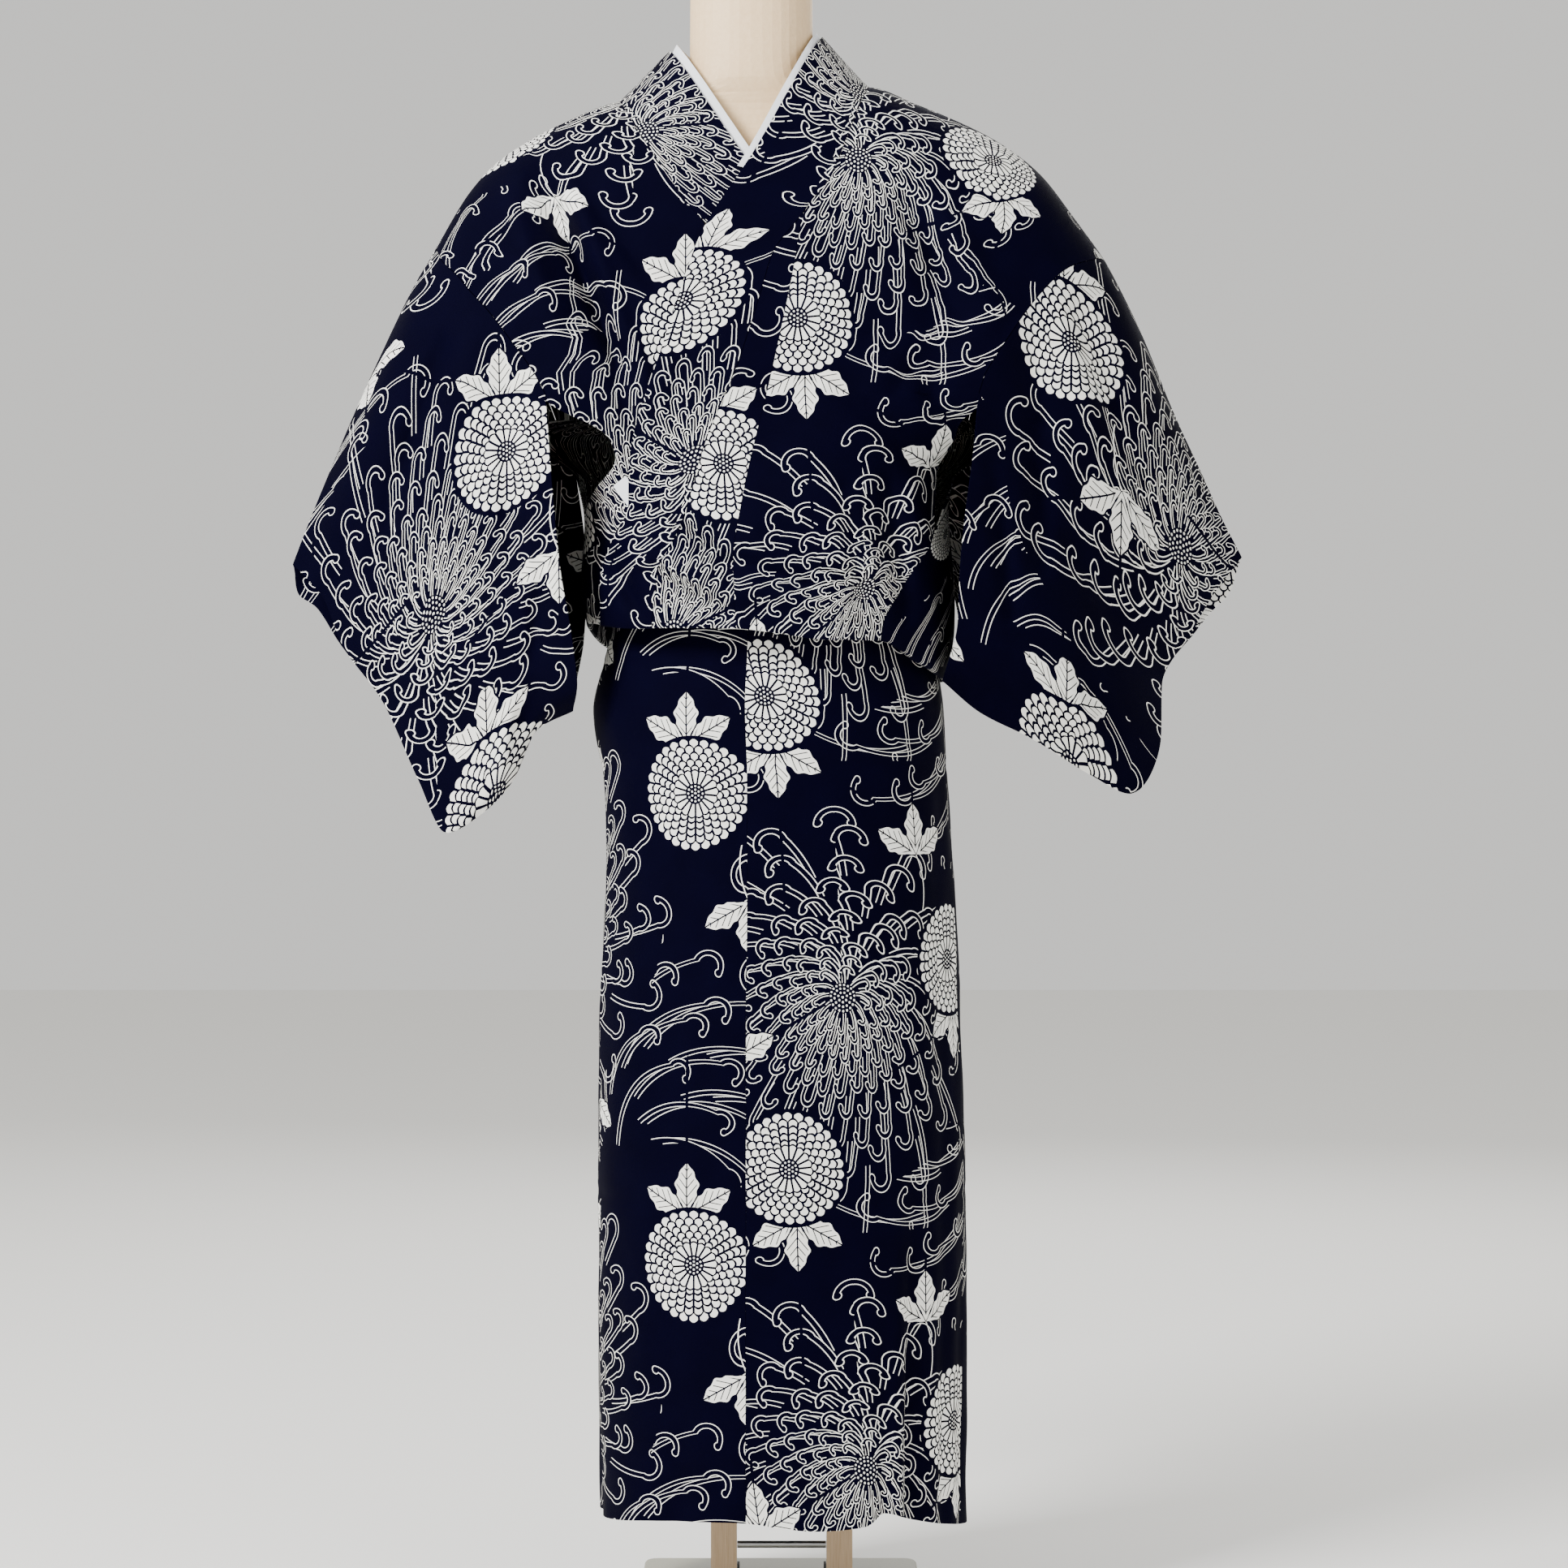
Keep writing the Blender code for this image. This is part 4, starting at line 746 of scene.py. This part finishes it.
def sleeve(name, hole_front, hole_back, edge, opened, flap, sign, side_folds, rules, material):
    """A sleeve bag: two layers joined at the top fold, the lower cuff and the bottom.

    The back layer's cuff hangs lower by the flap.
    """
    columns = np.linspace(0, 1, SLEEVE_COLUMNS)
    drops = np.linspace(0, 1, SLEEVE_ROWS)[1:]
    start_x, end_x = hole_front[0][0], float(edge["x"][0])
    x = start_x + (end_x - start_x) * columns
    y = RIDGE_Y + (float(edge["y"][0]) - RIDGE_Y) * columns**1.5
    top = np.stack([x, y, read(RIDGE, "x", "z", x)], -1)
    sides = {}
    for side, hole, axes in (("front", hole_front, "x y z"), ("back", hole_back, "backx backy z")):
        begin = np.array([float(opened[axis][0]) for axis in axes.split()])
        line = np.stack([read(opened, "part", axis, drops) for axis in axes.split()], -1)
        sides[side] = np.concatenate([hole, line + (hole[-1] - begin) * (1 - drops)[:, None]])
    lengths = along(sides["front"])
    down = lengths / lengths[-1]
    cuff = np.stack([read(edge, "part", a, CUFF_PART * down) for a in "xyz"], -1)
    bottom = np.stack([read(edge, "part", a, 1 + (CUFF_PART - 1) * columns) for a in "xyz"], -1)
    joined = len(hole_front) - 1
    layers, plans = [], []
    for side, push in (("front", -1), ("back", 1)):
        inner = sides[side]
        outer = cuff.copy()
        spread = np.sin(np.pi * np.clip(np.arange(len(cuff)) / joined, 0, 1))
        outer[:, 1] += push * CUFF_SPREAD * spread
        if side == "back":
            outer[:, 0] += sign * flap * spread
            outer[:, 2] -= flap * 0.6 * spread
        u, v = columns[None, :, None], down[:, None, None]
        patch = (1 - u) * inner[:, None] + u * outer[:, None] + (1 - v) * top[None] + v * bottom[None]
        patch -= (1 - u) * (1 - v) * top[0] + u * (1 - v) * top[-1]
        patch -= (1 - u) * v * bottom[0] + u * v * bottom[-1]
        swell = np.sin(np.pi * u[..., 0]) * np.sin(np.pi * v[..., 0]) ** 0.8
        patch[..., 1] += push * SLEEVE_SWELL * swell
        edges = np.clip(6 * u * (1 - u), 0, 1) * np.clip(10 * v * (1 - v), 0, 1)
        x, z = patch[..., 0], patch[..., 2]
        press = fold_depth(side_folds[side], x, z) + 1.6 * ripple(x, 0, z)
        patch[..., 1] -= push * press * edges[..., 0]
        layers.append(patch)
        plans.append(placed(patch, np.stack([x, z[:1] - fall_of(patch)], -1), rules[side]))
    front, back = layers
    rows, count = front.shape[:2]
    number = np.arange(rows * count).reshape(rows, count)
    other = np.full((rows, count), -1)
    other[0], other[-1] = number[0], number[-1]
    other[joined:, -1] = number[joined:, -1]
    fresh = other < 0
    other[fresh] = rows * count + np.arange(fresh.sum())
    points = np.concatenate([trimmed(front, ARM_SEAM, 0).reshape(-1, 3), trimmed(back, ARM_SEAM, 0)[fresh]])
    mesh = grid_quads(rows, count)
    here, there = number.reshape(-1)[mesh], other.reshape(-1)[mesh]
    corner_here, corner_there = (plan.reshape(-1, 2)[mesh] for plan in plans)
    if sign > 0:
        here, corner_here = here[:, ::-1], corner_here[:, ::-1]
    else:
        there, corner_there = there[:, ::-1], corner_there[:, ::-1]
    quads, corners = np.concatenate([here, there]), np.concatenate([corner_here, corner_there])
    return shell(name, points, quads, corners, CLOTH, material)


# ---- skirt
def skirt_panel(name, start, end, rule, centre, inner, material):
    """A panel of the wrap between two turns, from its top down to the hem. Centre is where u is 0."""
    turns = np.linspace(start, end, int((start - end) / SKIRT_STEP) + 1)
    hem = read(HEM, "angle", "z", half_turn(turns)) + (INNER_HEM_RISE if inner else 0.0)
    out = (WRAP_FROM - turns) / 360
    parts = np.linspace(0, 1, SKIRT_ROWS)
    grid = np.array([skirt(turns, SKIRT_TOP_Z + (hem - SKIRT_TOP_Z) * part, out) for part in parts])
    lead = skirt(np.linspace(centre, start, 30), 0.5, (WRAP_FROM - start) / 360)
    sign = -1 if start > centre else 1
    begin = -sign * along(lead)[-1]
    u = begin - across_plan(grid, np.zeros(len(grid)))
    plan = placed(grid, np.stack([u, grid[..., 2]], -1), rule)
    return sheet(name, trimmed(grid, SEAM, SEAM), plan, CLOTH, material)


# ---- materials
def step_of(operation):
    """A function of two values that writes one Math node."""
    return lambda first, second: maths(operation, first, second)


class Term:
    """A value in a material, so that a pattern reads as a formula."""

    tree = None
    __add__ = __radd__ = step_of("ADD")
    __mul__ = __rmul__ = step_of("MULTIPLY")
    __sub__ = step_of("SUBTRACT")
    __gt__, __lt__ = step_of("GREATER_THAN"), step_of("LESS_THAN")

    def __init__(self, socket):
        self.socket = socket

    def __rsub__(self, other):
        return maths("SUBTRACT", other, self)


def link(value, socket):
    """Feeds a term into an input, or sets the input to a plain value."""
    if isinstance(value, Term):
        Term.tree.links.new(value.socket, socket)
    else:
        socket.default_value = value


def added(kind, **inputs):
    """A new node of a kind, with its inputs by name."""
    node = Term.tree.nodes.new("ShaderNode" + kind)
    for name, value in inputs.items():
        link(value, node.inputs[name])
    return node


def maths(operation, *values):
    node = added("Math")
    node.operation = operation
    for value, socket in zip(values, node.inputs):
        link(value, socket)
    return Term(node.outputs[0])


def absolute(a):
    return maths("ABSOLUTE", a)


def wrapped(a, period):
    """a brought to between -period/2 and period/2."""
    return maths("WRAP", a, period / 2, -period / 2)


def length(a, b):
    return maths("SQRT", maths("MULTIPLY_ADD", a, a, b * b))


def madd(a, b, c):
    return maths("MULTIPLY_ADD", a, b, c)


least, most = step_of("MINIMUM"), step_of("MAXIMUM")


def chosen(when, first, second):
    """first where when is 1, second where it is 0."""
    return madd(when, first - second, second)


def noise(vector, scale, detail, roughness=0.5):
    return Term(added("TexNoise", Vector=vector, Scale=scale, Detail=detail, Roughness=roughness).outputs[0])


def new_material(name, **values):
    """A new material, which the next terms are written into, and its shader."""
    material = bpy.data.materials.new(name)
    material.use_nodes = True
    Term.tree = material.node_tree
    shader = material.node_tree.nodes["Principled BSDF"]
    for key, value in values.items():
        shader.inputs[key.replace("_", " ")].default_value = value
    return material, shader


def mixed(part, first, second):
    """The first colour where part is 0, the second where it is 1."""
    node = added("Mix")
    node.data_type = "RGBA"
    link(part, node.inputs[0])
    for colour, socket in ((first, node.inputs[6]), (second, node.inputs[7])):
        link(colour if isinstance(colour, Term) else (*colour, 1), socket)
    return Term(node.outputs[2])


def bump(height, shader, distance):
    node = added("Bump", Height=height, Distance=distance, Strength=0.6)
    Term.tree.links.new(node.outputs[0], shader.inputs["Normal"])


def print_coordinates():
    """The print's coordinates as a vector, and as u and v."""
    node = added("UVMap")
    node.uv_map = "print"
    vector = Term(node.outputs[0])
    parts = added("SeparateXYZ", Vector=vector)
    return vector, Term(parts.outputs[0]), Term(parts.outputs[1])


# The print: a generic pattern of mums in a tile, each laid out by the formulas below.
TILE = (0.370, 0.385)
FLOWER = (0.0, 0.0)
SECOND_FLOWER = (-0.170, -0.167)
SPIDER = (-0.050, -0.140)
FAN_BASE = (0.155, -0.050)
FAN_KEPT_OFF = 0.156  # sprays stop this far from a spider mum's middle
EXTRA_REACH = 0.080  # an extra flower takes the place of others this near
FLOWER_R = 0.047
PETAL_LAP = 0.0003  # dark rim that a petal lays over the ring outside it
DISC_R = 0.0085
SPIDER_DISC_R = 0.0115
SPIDER_SQUASH = 0.84  # above its middle
DOT_R = 0.00085
LINE = 0.00036  # half a drawn line
VEIN = 0.00058  # half a leaf's vein
VEIN_STEP = 0.0072
LEAF = 0.043
LEAF_STEP = 1.05  # angle between two leaves, in radians
THREAD = 0.00085

# ring of canes: reach of the tips, number, hook radius, half width, sweep, uneven reach, phase, and the
# radius inside which this ring clears the outer ones
CANES = (
    (0.160, 13, 0.0108, 0.0021, 0.28, 0.040, 0.3, 0.0),
    (0.132, 17, 0.0095, 0.0021, 0.28, 0.020, 0.0, 0.117),
    (0.110, 20, 0.0081, 0.0020, 0.36, 0.012, 0.4, 0.099),
    (0.092, 21, 0.0070, 0.0019, 0.40, 0.009, 0.1, 0.083),
    (0.076, 21, 0.0061, 0.0018, 0.44, 0.007, 0.5, 0.068),
    (0.062, 20, 0.0053, 0.0017, 0.48, 0.005, 0.2, 0.055),
    (0.050, 19, 0.0046, 0.0015, 0.50, 0.004, 0.0, 0.044),
    (0.039, 17, 0.0040, 0.0014, 0.50, 0.003, 0.5, 0.034),
    (0.030, 14, 0.0034, 0.0012, 0.45, 0.003, 0.2, 0.025),
    (0.022, 11, 0.0029, 0.0011, 0.40, 0.002, 0.0, 0.015),
)
FAN = (
    (0.190, 19, 0.0112, 0.0021, 0.62, 0.022, 0.3, 0.0),
    (0.162, 18, 0.0106, 0.0021, 0.60, 0.020, 0.8, 0.0),
    (0.134, 16, 0.0098, 0.0021, 0.56, 0.018, 0.0, 0.0),
    (0.106, 14, 0.0088, 0.0020, 0.52, 0.014, 0.5, 0.0),
)
# ring of scallops: reach of the tips, number, phase, curve of the tips, outline at the tips and between two
SCALLOPS = [
    (reach, number, phase, 2.0 * number / (reach * 8), 0.00155, 0.00095)
    for reach, number, phase in (
        (0.0470, 30, 0.0), (0.0410, 28, 0.5), (0.0352, 25, 0.0), (0.0296, 22, 0.5), (0.0244, 19, 0.0),
    )
]
SCALLOPS.append((0.0202, 17, 0.0, 160.0, 0.0012, 0.00082))


def dots(r, angle, rings):
    """Round dots in rings: (radius, number)."""
    total = None
    for radius, number in rings:
        across = wrapped(angle, 2 * math.pi / number) * radius
        here = length(r - radius, across) < DOT_R
        total = here if total is None else most(total, here)
    return total


def mum(x, y):
    """A full flower, a little uneven: white petals with dark outlines. Gives (white, covered)."""
    angle = maths("ARCTAN2", x, y)
    r = length(x, y) * (1.0 + 0.025 * maths("SINE", madd(angle, 3.0, 1.0)))
    out = None
    for reach, number, phase, curve, rim, gap in SCALLOPS:
        step = 2 * math.pi / number
        across = wrapped(angle + phase * step, step) * r
        inside = (reach - r) - across * across * curve
        value = (inside > rim) * (absolute(across) < r * (math.pi / number) - gap)
        out = value if out is None else chosen(inside > -PETAL_LAP, value, out)
    disc = r < DISC_R
    centre = dots(r, angle, ((0.0003, 1), (0.0032, 6), (0.0062, 12)))
    return chosen(disc, centre, out), r < FLOWER_R + 0.0014


def canes(angle, r, rings, seed, free=False):
    """Rings of hooked canes in double lines, the inner ones over the outer ones.

    Free ones all bend the same way and start at uneven places.
    """
    hooked = 1.0 if free else madd(maths("COMPARE", angle, 1.8, 1.35), -2.0, 1.0)
    bent = -1.0 if free else maths("COSINE", angle - 2.0)
    swirl = r * r * bent
    side = r * hooked
    lean = hooked * bent
    out = None
    for index, (reach, number, hook, half, sweep, uneven, phase, cleared) in enumerate(rings):
        step = 2 * math.pi / number
        turned = madd(swirl, sweep / reach**2, angle) + phase * step
        part = wrapped(turned, step)
        which = added("TexWhiteNoise")
        which.noise_dimensions = "1D"
        cell = wrapped(maths("FLOOR", madd(turned, 1 / step, 0.5)), number)
        link(cell + (seed + 40.0 * index), which.inputs["W"])
        chance = Term(which.outputs[0])
        along_cane = madd(chance, uneven, reach - uneven / 2) - r
        off = madd(part, side, r * (hook / reach)) - hook
        stem = absolute(off + hook) - half
        off = madd(lean * along_cane, 2 * sweep, off)
        bend = absolute(length(off, along_cane) - hook) - half
        tip = length(off - hook * 0.93, along_cane) - half * 1.4
        d = least(chosen(along_cane < 0.0, bend, stem), tip)
        line = maths("COMPARE", d, 0.0, LINE)
        if free:
            line = line * (r > madd(chance, 0.060, reach - 0.105)) * (absolute(turned + 0.1) < 1.35)
        if out is None:
            out = line
            continue
        if cleared:
            out = out * (r > cleared)
        out = most(out * (d > 0.0), line)
    return out


def spider(x, y):
    """A spider mum: dense rings of canes round a dotted disc."""
    y = y * chosen(y > 0.0, SPIDER_SQUASH, 1.0)
    angle = maths("ARCTAN2", x, y)
    r = length(x, y)
    out = canes(angle, r, CANES, 0.25)
    disc = r < SPIDER_DISC_R
    return chosen(disc, dots(r, angle, ((0.0003, 1), (0.0036, 7), (0.0068, 13), (0.0098, 19))), out)


def fan(x, y):
    """A spray of long canes."""
    angle = maths("ARCTAN2", x, y)
    r = length(x, y)
    return canes(angle, r, FAN, 400.25, True)


def sprig(x, y):
    """Three leaves with dark veins. Gives (white, covered)."""
    angle = maths("ARCTAN2", x, y)
    r = length(x, y)
    part = wrapped(angle, LEAF_STEP)
    ahead = r * maths("COSINE", part)
    aside = absolute(r * maths("SINE", part))
    grown = maths("SINE", maths("POWER", least(ahead * (1 / LEAF), 1.0), 1.15) * math.pi)
    lobes = madd(maths("SINE", ahead * 560.0), 0.10, 1.0)
    edge = least(madd(grown * lobes, LEAF * 0.235, 0.0) - aside, ahead * 0.55 - aside)
    veins = absolute(wrapped(ahead - aside * 1.2, VEIN_STEP)) > VEIN
    fan_out = absolute(angle) < 1.57
    keel = most(aside > VEIN, ahead < LEAF * 0.14)
    white = (edge > 0.0003) * keel * most(veins, edge < 0.0022) * fan_out
    return white, (edge > -0.0013) * fan_out


def tiled(u, v, place):
    """Coordinates from the nearest repeat of a place in the tile."""
    return wrapped(u - place[0], TILE[0]), wrapped(v - place[1], TILE[1])


def printed(u, v, extra, spider_at, fan_at):
    """1 where the cloth is left white, 0 where it is dyed. Extra is the place of one more flower, or None."""
    ax, ay = tiled(u, v, FLOWER)
    bx, by = tiled(u, v, SECOND_FLOWER)
    first = length(ax, ay) < length(bx, by)
    fx, fy = chosen(first, ax, bx), chosen(first, ay, by)
    if extra:
        ex, ey = u - extra[0], v - extra[1]
        near = length(ex, ey) < EXTRA_REACH
        fx, fy = chosen(near, ex, fx), chosen(near, ey, fy)
    out = fan(*tiled(u, v, fan_at))
    sx, sy = tiled(u, v, spider_at)
    out = most(out * (length(sx, sy) > FAN_KEPT_OFF), spider(sx, sy))
    # Each flower has a sprig: one rises above it, or one hangs below it on a short stem.
    upper = fy > -0.020
    lx = chosen(upper, fx + 0.006, fx - 0.045)
    ly = chosen(upper, fy - 0.041, -1.0 * fy - 0.088)
    bow = absolute(lx - ly * ly * 8.0 - ly * 0.5) < LINE * 1.4
    stem = bow * (ly < 0.006) * (ly > -0.046) * (upper < 0.5)
    out = most(out, stem)
    white, cover = sprig(lx, ly)
    out = chosen(cover, white, out)
    white, cover = mum(fx, fy)
    return chosen(cover, white, out)


def cotton(name, pattern, extra=None, spider_at=SPIDER, fan_at=FAN_BASE):
    """Woven cotton. With the pattern it is dyed navy and keeps the print white."""
    specular, sheen = (0.012, 0.002) if pattern else (0.2, 0.12)
    material, shader = new_material(
        name, Roughness=0.62, Specular_IOR_Level=specular, Sheen_Weight=sheen, Sheen_Roughness=0.5
    )
    vector, u, v = print_coordinates()
    cloudy = noise(vector, 26.0, 3.0)
    slub = noise(vector, 700.0, 2.0, 0.6)
    if pattern:
        dyed = mixed(madd(cloudy, 0.7, slub * 0.3), (0.0004, 0.0002, 0.0036), (0.0011, 0.0007, 0.0098))
        left_white = mixed(slub, (0.80, 0.79, 0.74), (0.95, 0.94, 0.89))
        colour = mixed(printed(u, v, extra, spider_at, fan_at), dyed, left_white)
    else:
        colour = mixed(slub, (0.78, 0.80, 0.86), (0.90, 0.91, 0.94))
    link(colour, shader.inputs["Base Color"])
    weave = maths("SINE", u * (2 * math.pi / THREAD)) * maths("SINE", v * (2 * math.pi / THREAD))
    bump(madd(weave, 0.5, slub) + cloudy * 2.0, shader, 0.00025)
    return material


def plain(name, dark, light, roughness, grain, depth, metallic=0.0, scale=(1, 1, 1)):
    """A hard surface with fine grain and faint uneven colour."""
    material, shader = new_material(name, Roughness=roughness, Metallic=metallic)
    place = Term(added("TexCoord").outputs["Object"])
    vector = Term(added("Mapping", Vector=place, Scale=scale).outputs[0])
    speckle = noise(vector, grain, 3.0, 0.6)
    link(mixed(speckle, dark, light), shader.inputs["Base Color"])
    bump(speckle, shader, depth)
    return material


# ---- camera and cotton
camera = put("camera", bpy.data.cameras.new("camera"))
camera.location = (0.003, -3.0, 0.70)
camera.rotation_euler = (math.radians(90), 0, 0)
camera.data.sensor_width = 36
camera.data.lens = 81.06
bpy.context.scene.camera = camera

# Where the photo's flowers lie otherwise, a piece has its own layout: extra flower, spider mum, spray.
navy = cotton("navy_cotton", True)
navy_sleeve = cotton("navy_cotton_sleeve", True, (-0.014, -0.252), (-0.066, -0.096))
navy_wide = cotton("navy_cotton_left_sleeve", True, (0.004, -0.318), (0.100, -0.100), (-0.075, -0.270))
navy_overlap = cotton("navy_cotton_overlap", True, None, (0.185, -0.10), (-0.080, -0.305))
white_cotton = cotton("white_cotton", False)

# ---- the cloth
made, left_front, left_back = body_panel(
    "body_left_cloth", SEAM_LEFT, ARMHOLE_LEFT, SIDE_LEFT, LAP, 66,
    (0.0635, 1.216, SPIDER, True, False), (0.10, 1.13, FLOWER, True, True),
)
pieces = [(made, "body_left_upper", "draped", "form_neck", (0.34, 0.92), 0.290)]
made, right_front, right_back = body_panel(
    "body_right_cloth", SEAM_RIGHT, ARMHOLE_RIGHT, SIDE_RIGHT, 0.0, 60,
    (-0.1115, 0.930, SPIDER, False, False), (-0.13, 1.02, SPIDER, False, True),
)
pieces.append((made, "body_right_upper", "draped", "form_neck", (0.34, 0.92), 0.235))
made = strip(
    "overlap_left_upper_cloth", (COLLAR_LEFT, "seam"), (SEAM_LEFT, "x"), (0.33, 0.24, 0.12, *DROPS), LAP,
    (-0.046, 0.958, FLOWER, False, False),
)
pieces.append((made, "overlap_left_upper", "hung", "body_left_upper", (0.13, 0.42), 0.021))
made = strip(
    "overlap_right_upper_cloth", (SEAM_RIGHT, "x"), (COLLAR_RIGHT, "seam"), (0.24, 0.12, *DROPS[:4]), 0.0,
    (0.0, 1.05, FAN_BASE, False, False),
)
pieces.append((made, "overlap_right_upper", "hung", "body_right_upper", (0.07, 0.22), 0.0075))
COLLAR_RULE = (-0.078, 1.10, FLOWER, False, False)
band, inner = collar()
pieces.append((band, "collar", "draped", "form_neck", (0.056, 1.40), None))
pieces.append((inner, "half_collar", "draped", "form_neck", (0.020, 0.70), None))
pieces.append((waist_tie(), "waist_tie", "stretched", "body_right_upper", (0.013, 0.060), None))
made = sleeve(
    "sleeve_left_cloth", left_front, left_back, SLEEVE_LEFT, OPEN_LEFT, 0.010, 1, SLEEVE_LEFT_FOLDS,
    {"front": (0.240, 1.064, FLOWER, False, False), "back": (0.270, 0.90, SPIDER, True, True)}, navy_wide,
)
pieces.append((made, "sleeve_left", "hung", "body_left_upper", (0.27, 0.84), 0.200))
made = sleeve(
    "sleeve_right_cloth", right_front, right_back, SLEEVE_RIGHT, OPEN_RIGHT, 0.014, -1, SLEEVE_RIGHT_FOLDS,
    {"front": (-0.225, 0.975, FLOWER, False, False), "back": (-0.28, 1.00, FLOWER, True, True)}, navy_sleeve,
)
pieces.append((made, "sleeve_right", "hung", "body_right_upper", (0.27, 0.84), 0.200))
for name, start, end, rule, centre, inner, width in (
    ("overlap_right_skirt", 50, -10, (0.0, 0.5, FLOWER, False, False), 0, True, 0.155),
    ("skirt_front_right", -10, -95, (-0.12, 0.62, FLOWER, True, False), 0, True, 0.201),
    ("skirt_back_right", -95, -180, (-0.08, 0.60, FLOWER, False, True), -180, False, 0.210),
    ("skirt_back_left", -180, -283, (0.08, 0.52, SPIDER, True, True), -180, False, 0.260),
    ("skirt_front_left", -283, -368, (-0.012, 0.770, FLOWER, True, False), -360, False, 0.212),
    ("overlap_left_skirt", -368, -434, (-0.0703, 0.694, FLOWER, False, False), -360, False, 0.155),
):
    material = navy_overlap if name == "overlap_left_skirt" else navy
    made = skirt_panel(name + "_cloth", start, end, rule, centre, inner, material)
    pieces.append((made, name, "hung", "form_torso", (width, 0.86), None))

for piece, node, held, rests_on, flat, area in pieces:
    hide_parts(node)
    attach(piece, "root")
    "white_cotton" if node in ("half_collar", "waist_tie") else "navy_cotton"

# ---- form and stand
finishes = {
    "form_neck": plain("form_cream", (0.75, 0.52, 0.28), (0.87, 0.65, 0.40), 0.55, 260.0, 0.0004),
    # The torso's near-black colour is painted shade: it stands in for the deep shade seen through the armpit
    # gaps.
    "form_torso": plain("form_black", (0.010, 0.010, 0.012), (0.020, 0.020, 0.022), 0.6, 300.0, 0.0004),
    "base_plate": plain("plate_paint", (0.24, 0.235, 0.17), (0.33, 0.32, 0.25), 0.42, 420.0, 0.0002),
    "cross_rod": plain(
        "rod_steel", (0.55, 0.55, 0.56), (0.72, 0.72, 0.73), 0.28, 500.0, 0.0001, 1.0, (1, 12, 12)
    ),
    "post_left": plain(
        "post_wood", (0.42, 0.24, 0.11), (0.78, 0.60, 0.40), 0.5, 120.0, 0.0003, 0.0, (6, 6, 0.25)
    ),
    "foot_bracket_left": plain("bracket_black", (0.01, 0.01, 0.01), (0.03, 0.03, 0.03), 0.45, 500.0, 0.0002),
}
finishes["post_right"] = finishes["post_left"]
finishes["foot_bracket_right"] = finishes["foot_bracket_left"]
for name, material in finishes.items():
    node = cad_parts[name]
    node.data.materials.clear()
    node.data.materials.append(material)

# ---- floor and light
floor_mesh = bpy.data.meshes.new("floor")
corners = [(x * FLOOR_HALF, y * FLOOR_HALF, 0) for x, y in ((-1, -1), (1, -1), (1, 1), (-1, 1))]
floor_mesh.from_pydata(corners, [], [(0, 1, 2, 3)])
floor = put("floor", floor_mesh)
floor_paint, floor_shader = new_material("floor_paint", Roughness=0.7)
floor_shader.inputs["Base Color"].default_value = (0.86, 0.85, 0.82, 1)
floor_mesh.materials.append(floor_paint)

world = bpy.data.worlds.new("studio")
world.use_nodes = True
world.node_tree.nodes["Background"].inputs[0].default_value = (0.95, 0.94, 0.91, 1)
world.node_tree.nodes["Background"].inputs[1].default_value = 0.88
bpy.context.scene.world = world
for name, place, aim_z, size, power in (
    ("key", (-2.2, -2.0, 2.8), 0.8, 1.1, 262),
    ("fill", (2.4, -2.4, 1.4), 0.8, 2.0, 29),
    ("back", (0.5, 2.8, 2.4), 0.9, 2.0, 52),
):
    light = put(name, bpy.data.lights.new(name, "AREA"))
    light.data.energy = power
    light.data.size = size
    light.location = place
    run = np.array((0, 0, aim_z)) - np.array(place)
    light.rotation_euler = (math.atan2(math.hypot(run[0], run[1]), -run[2]), 0, math.atan2(-run[0], run[1]))
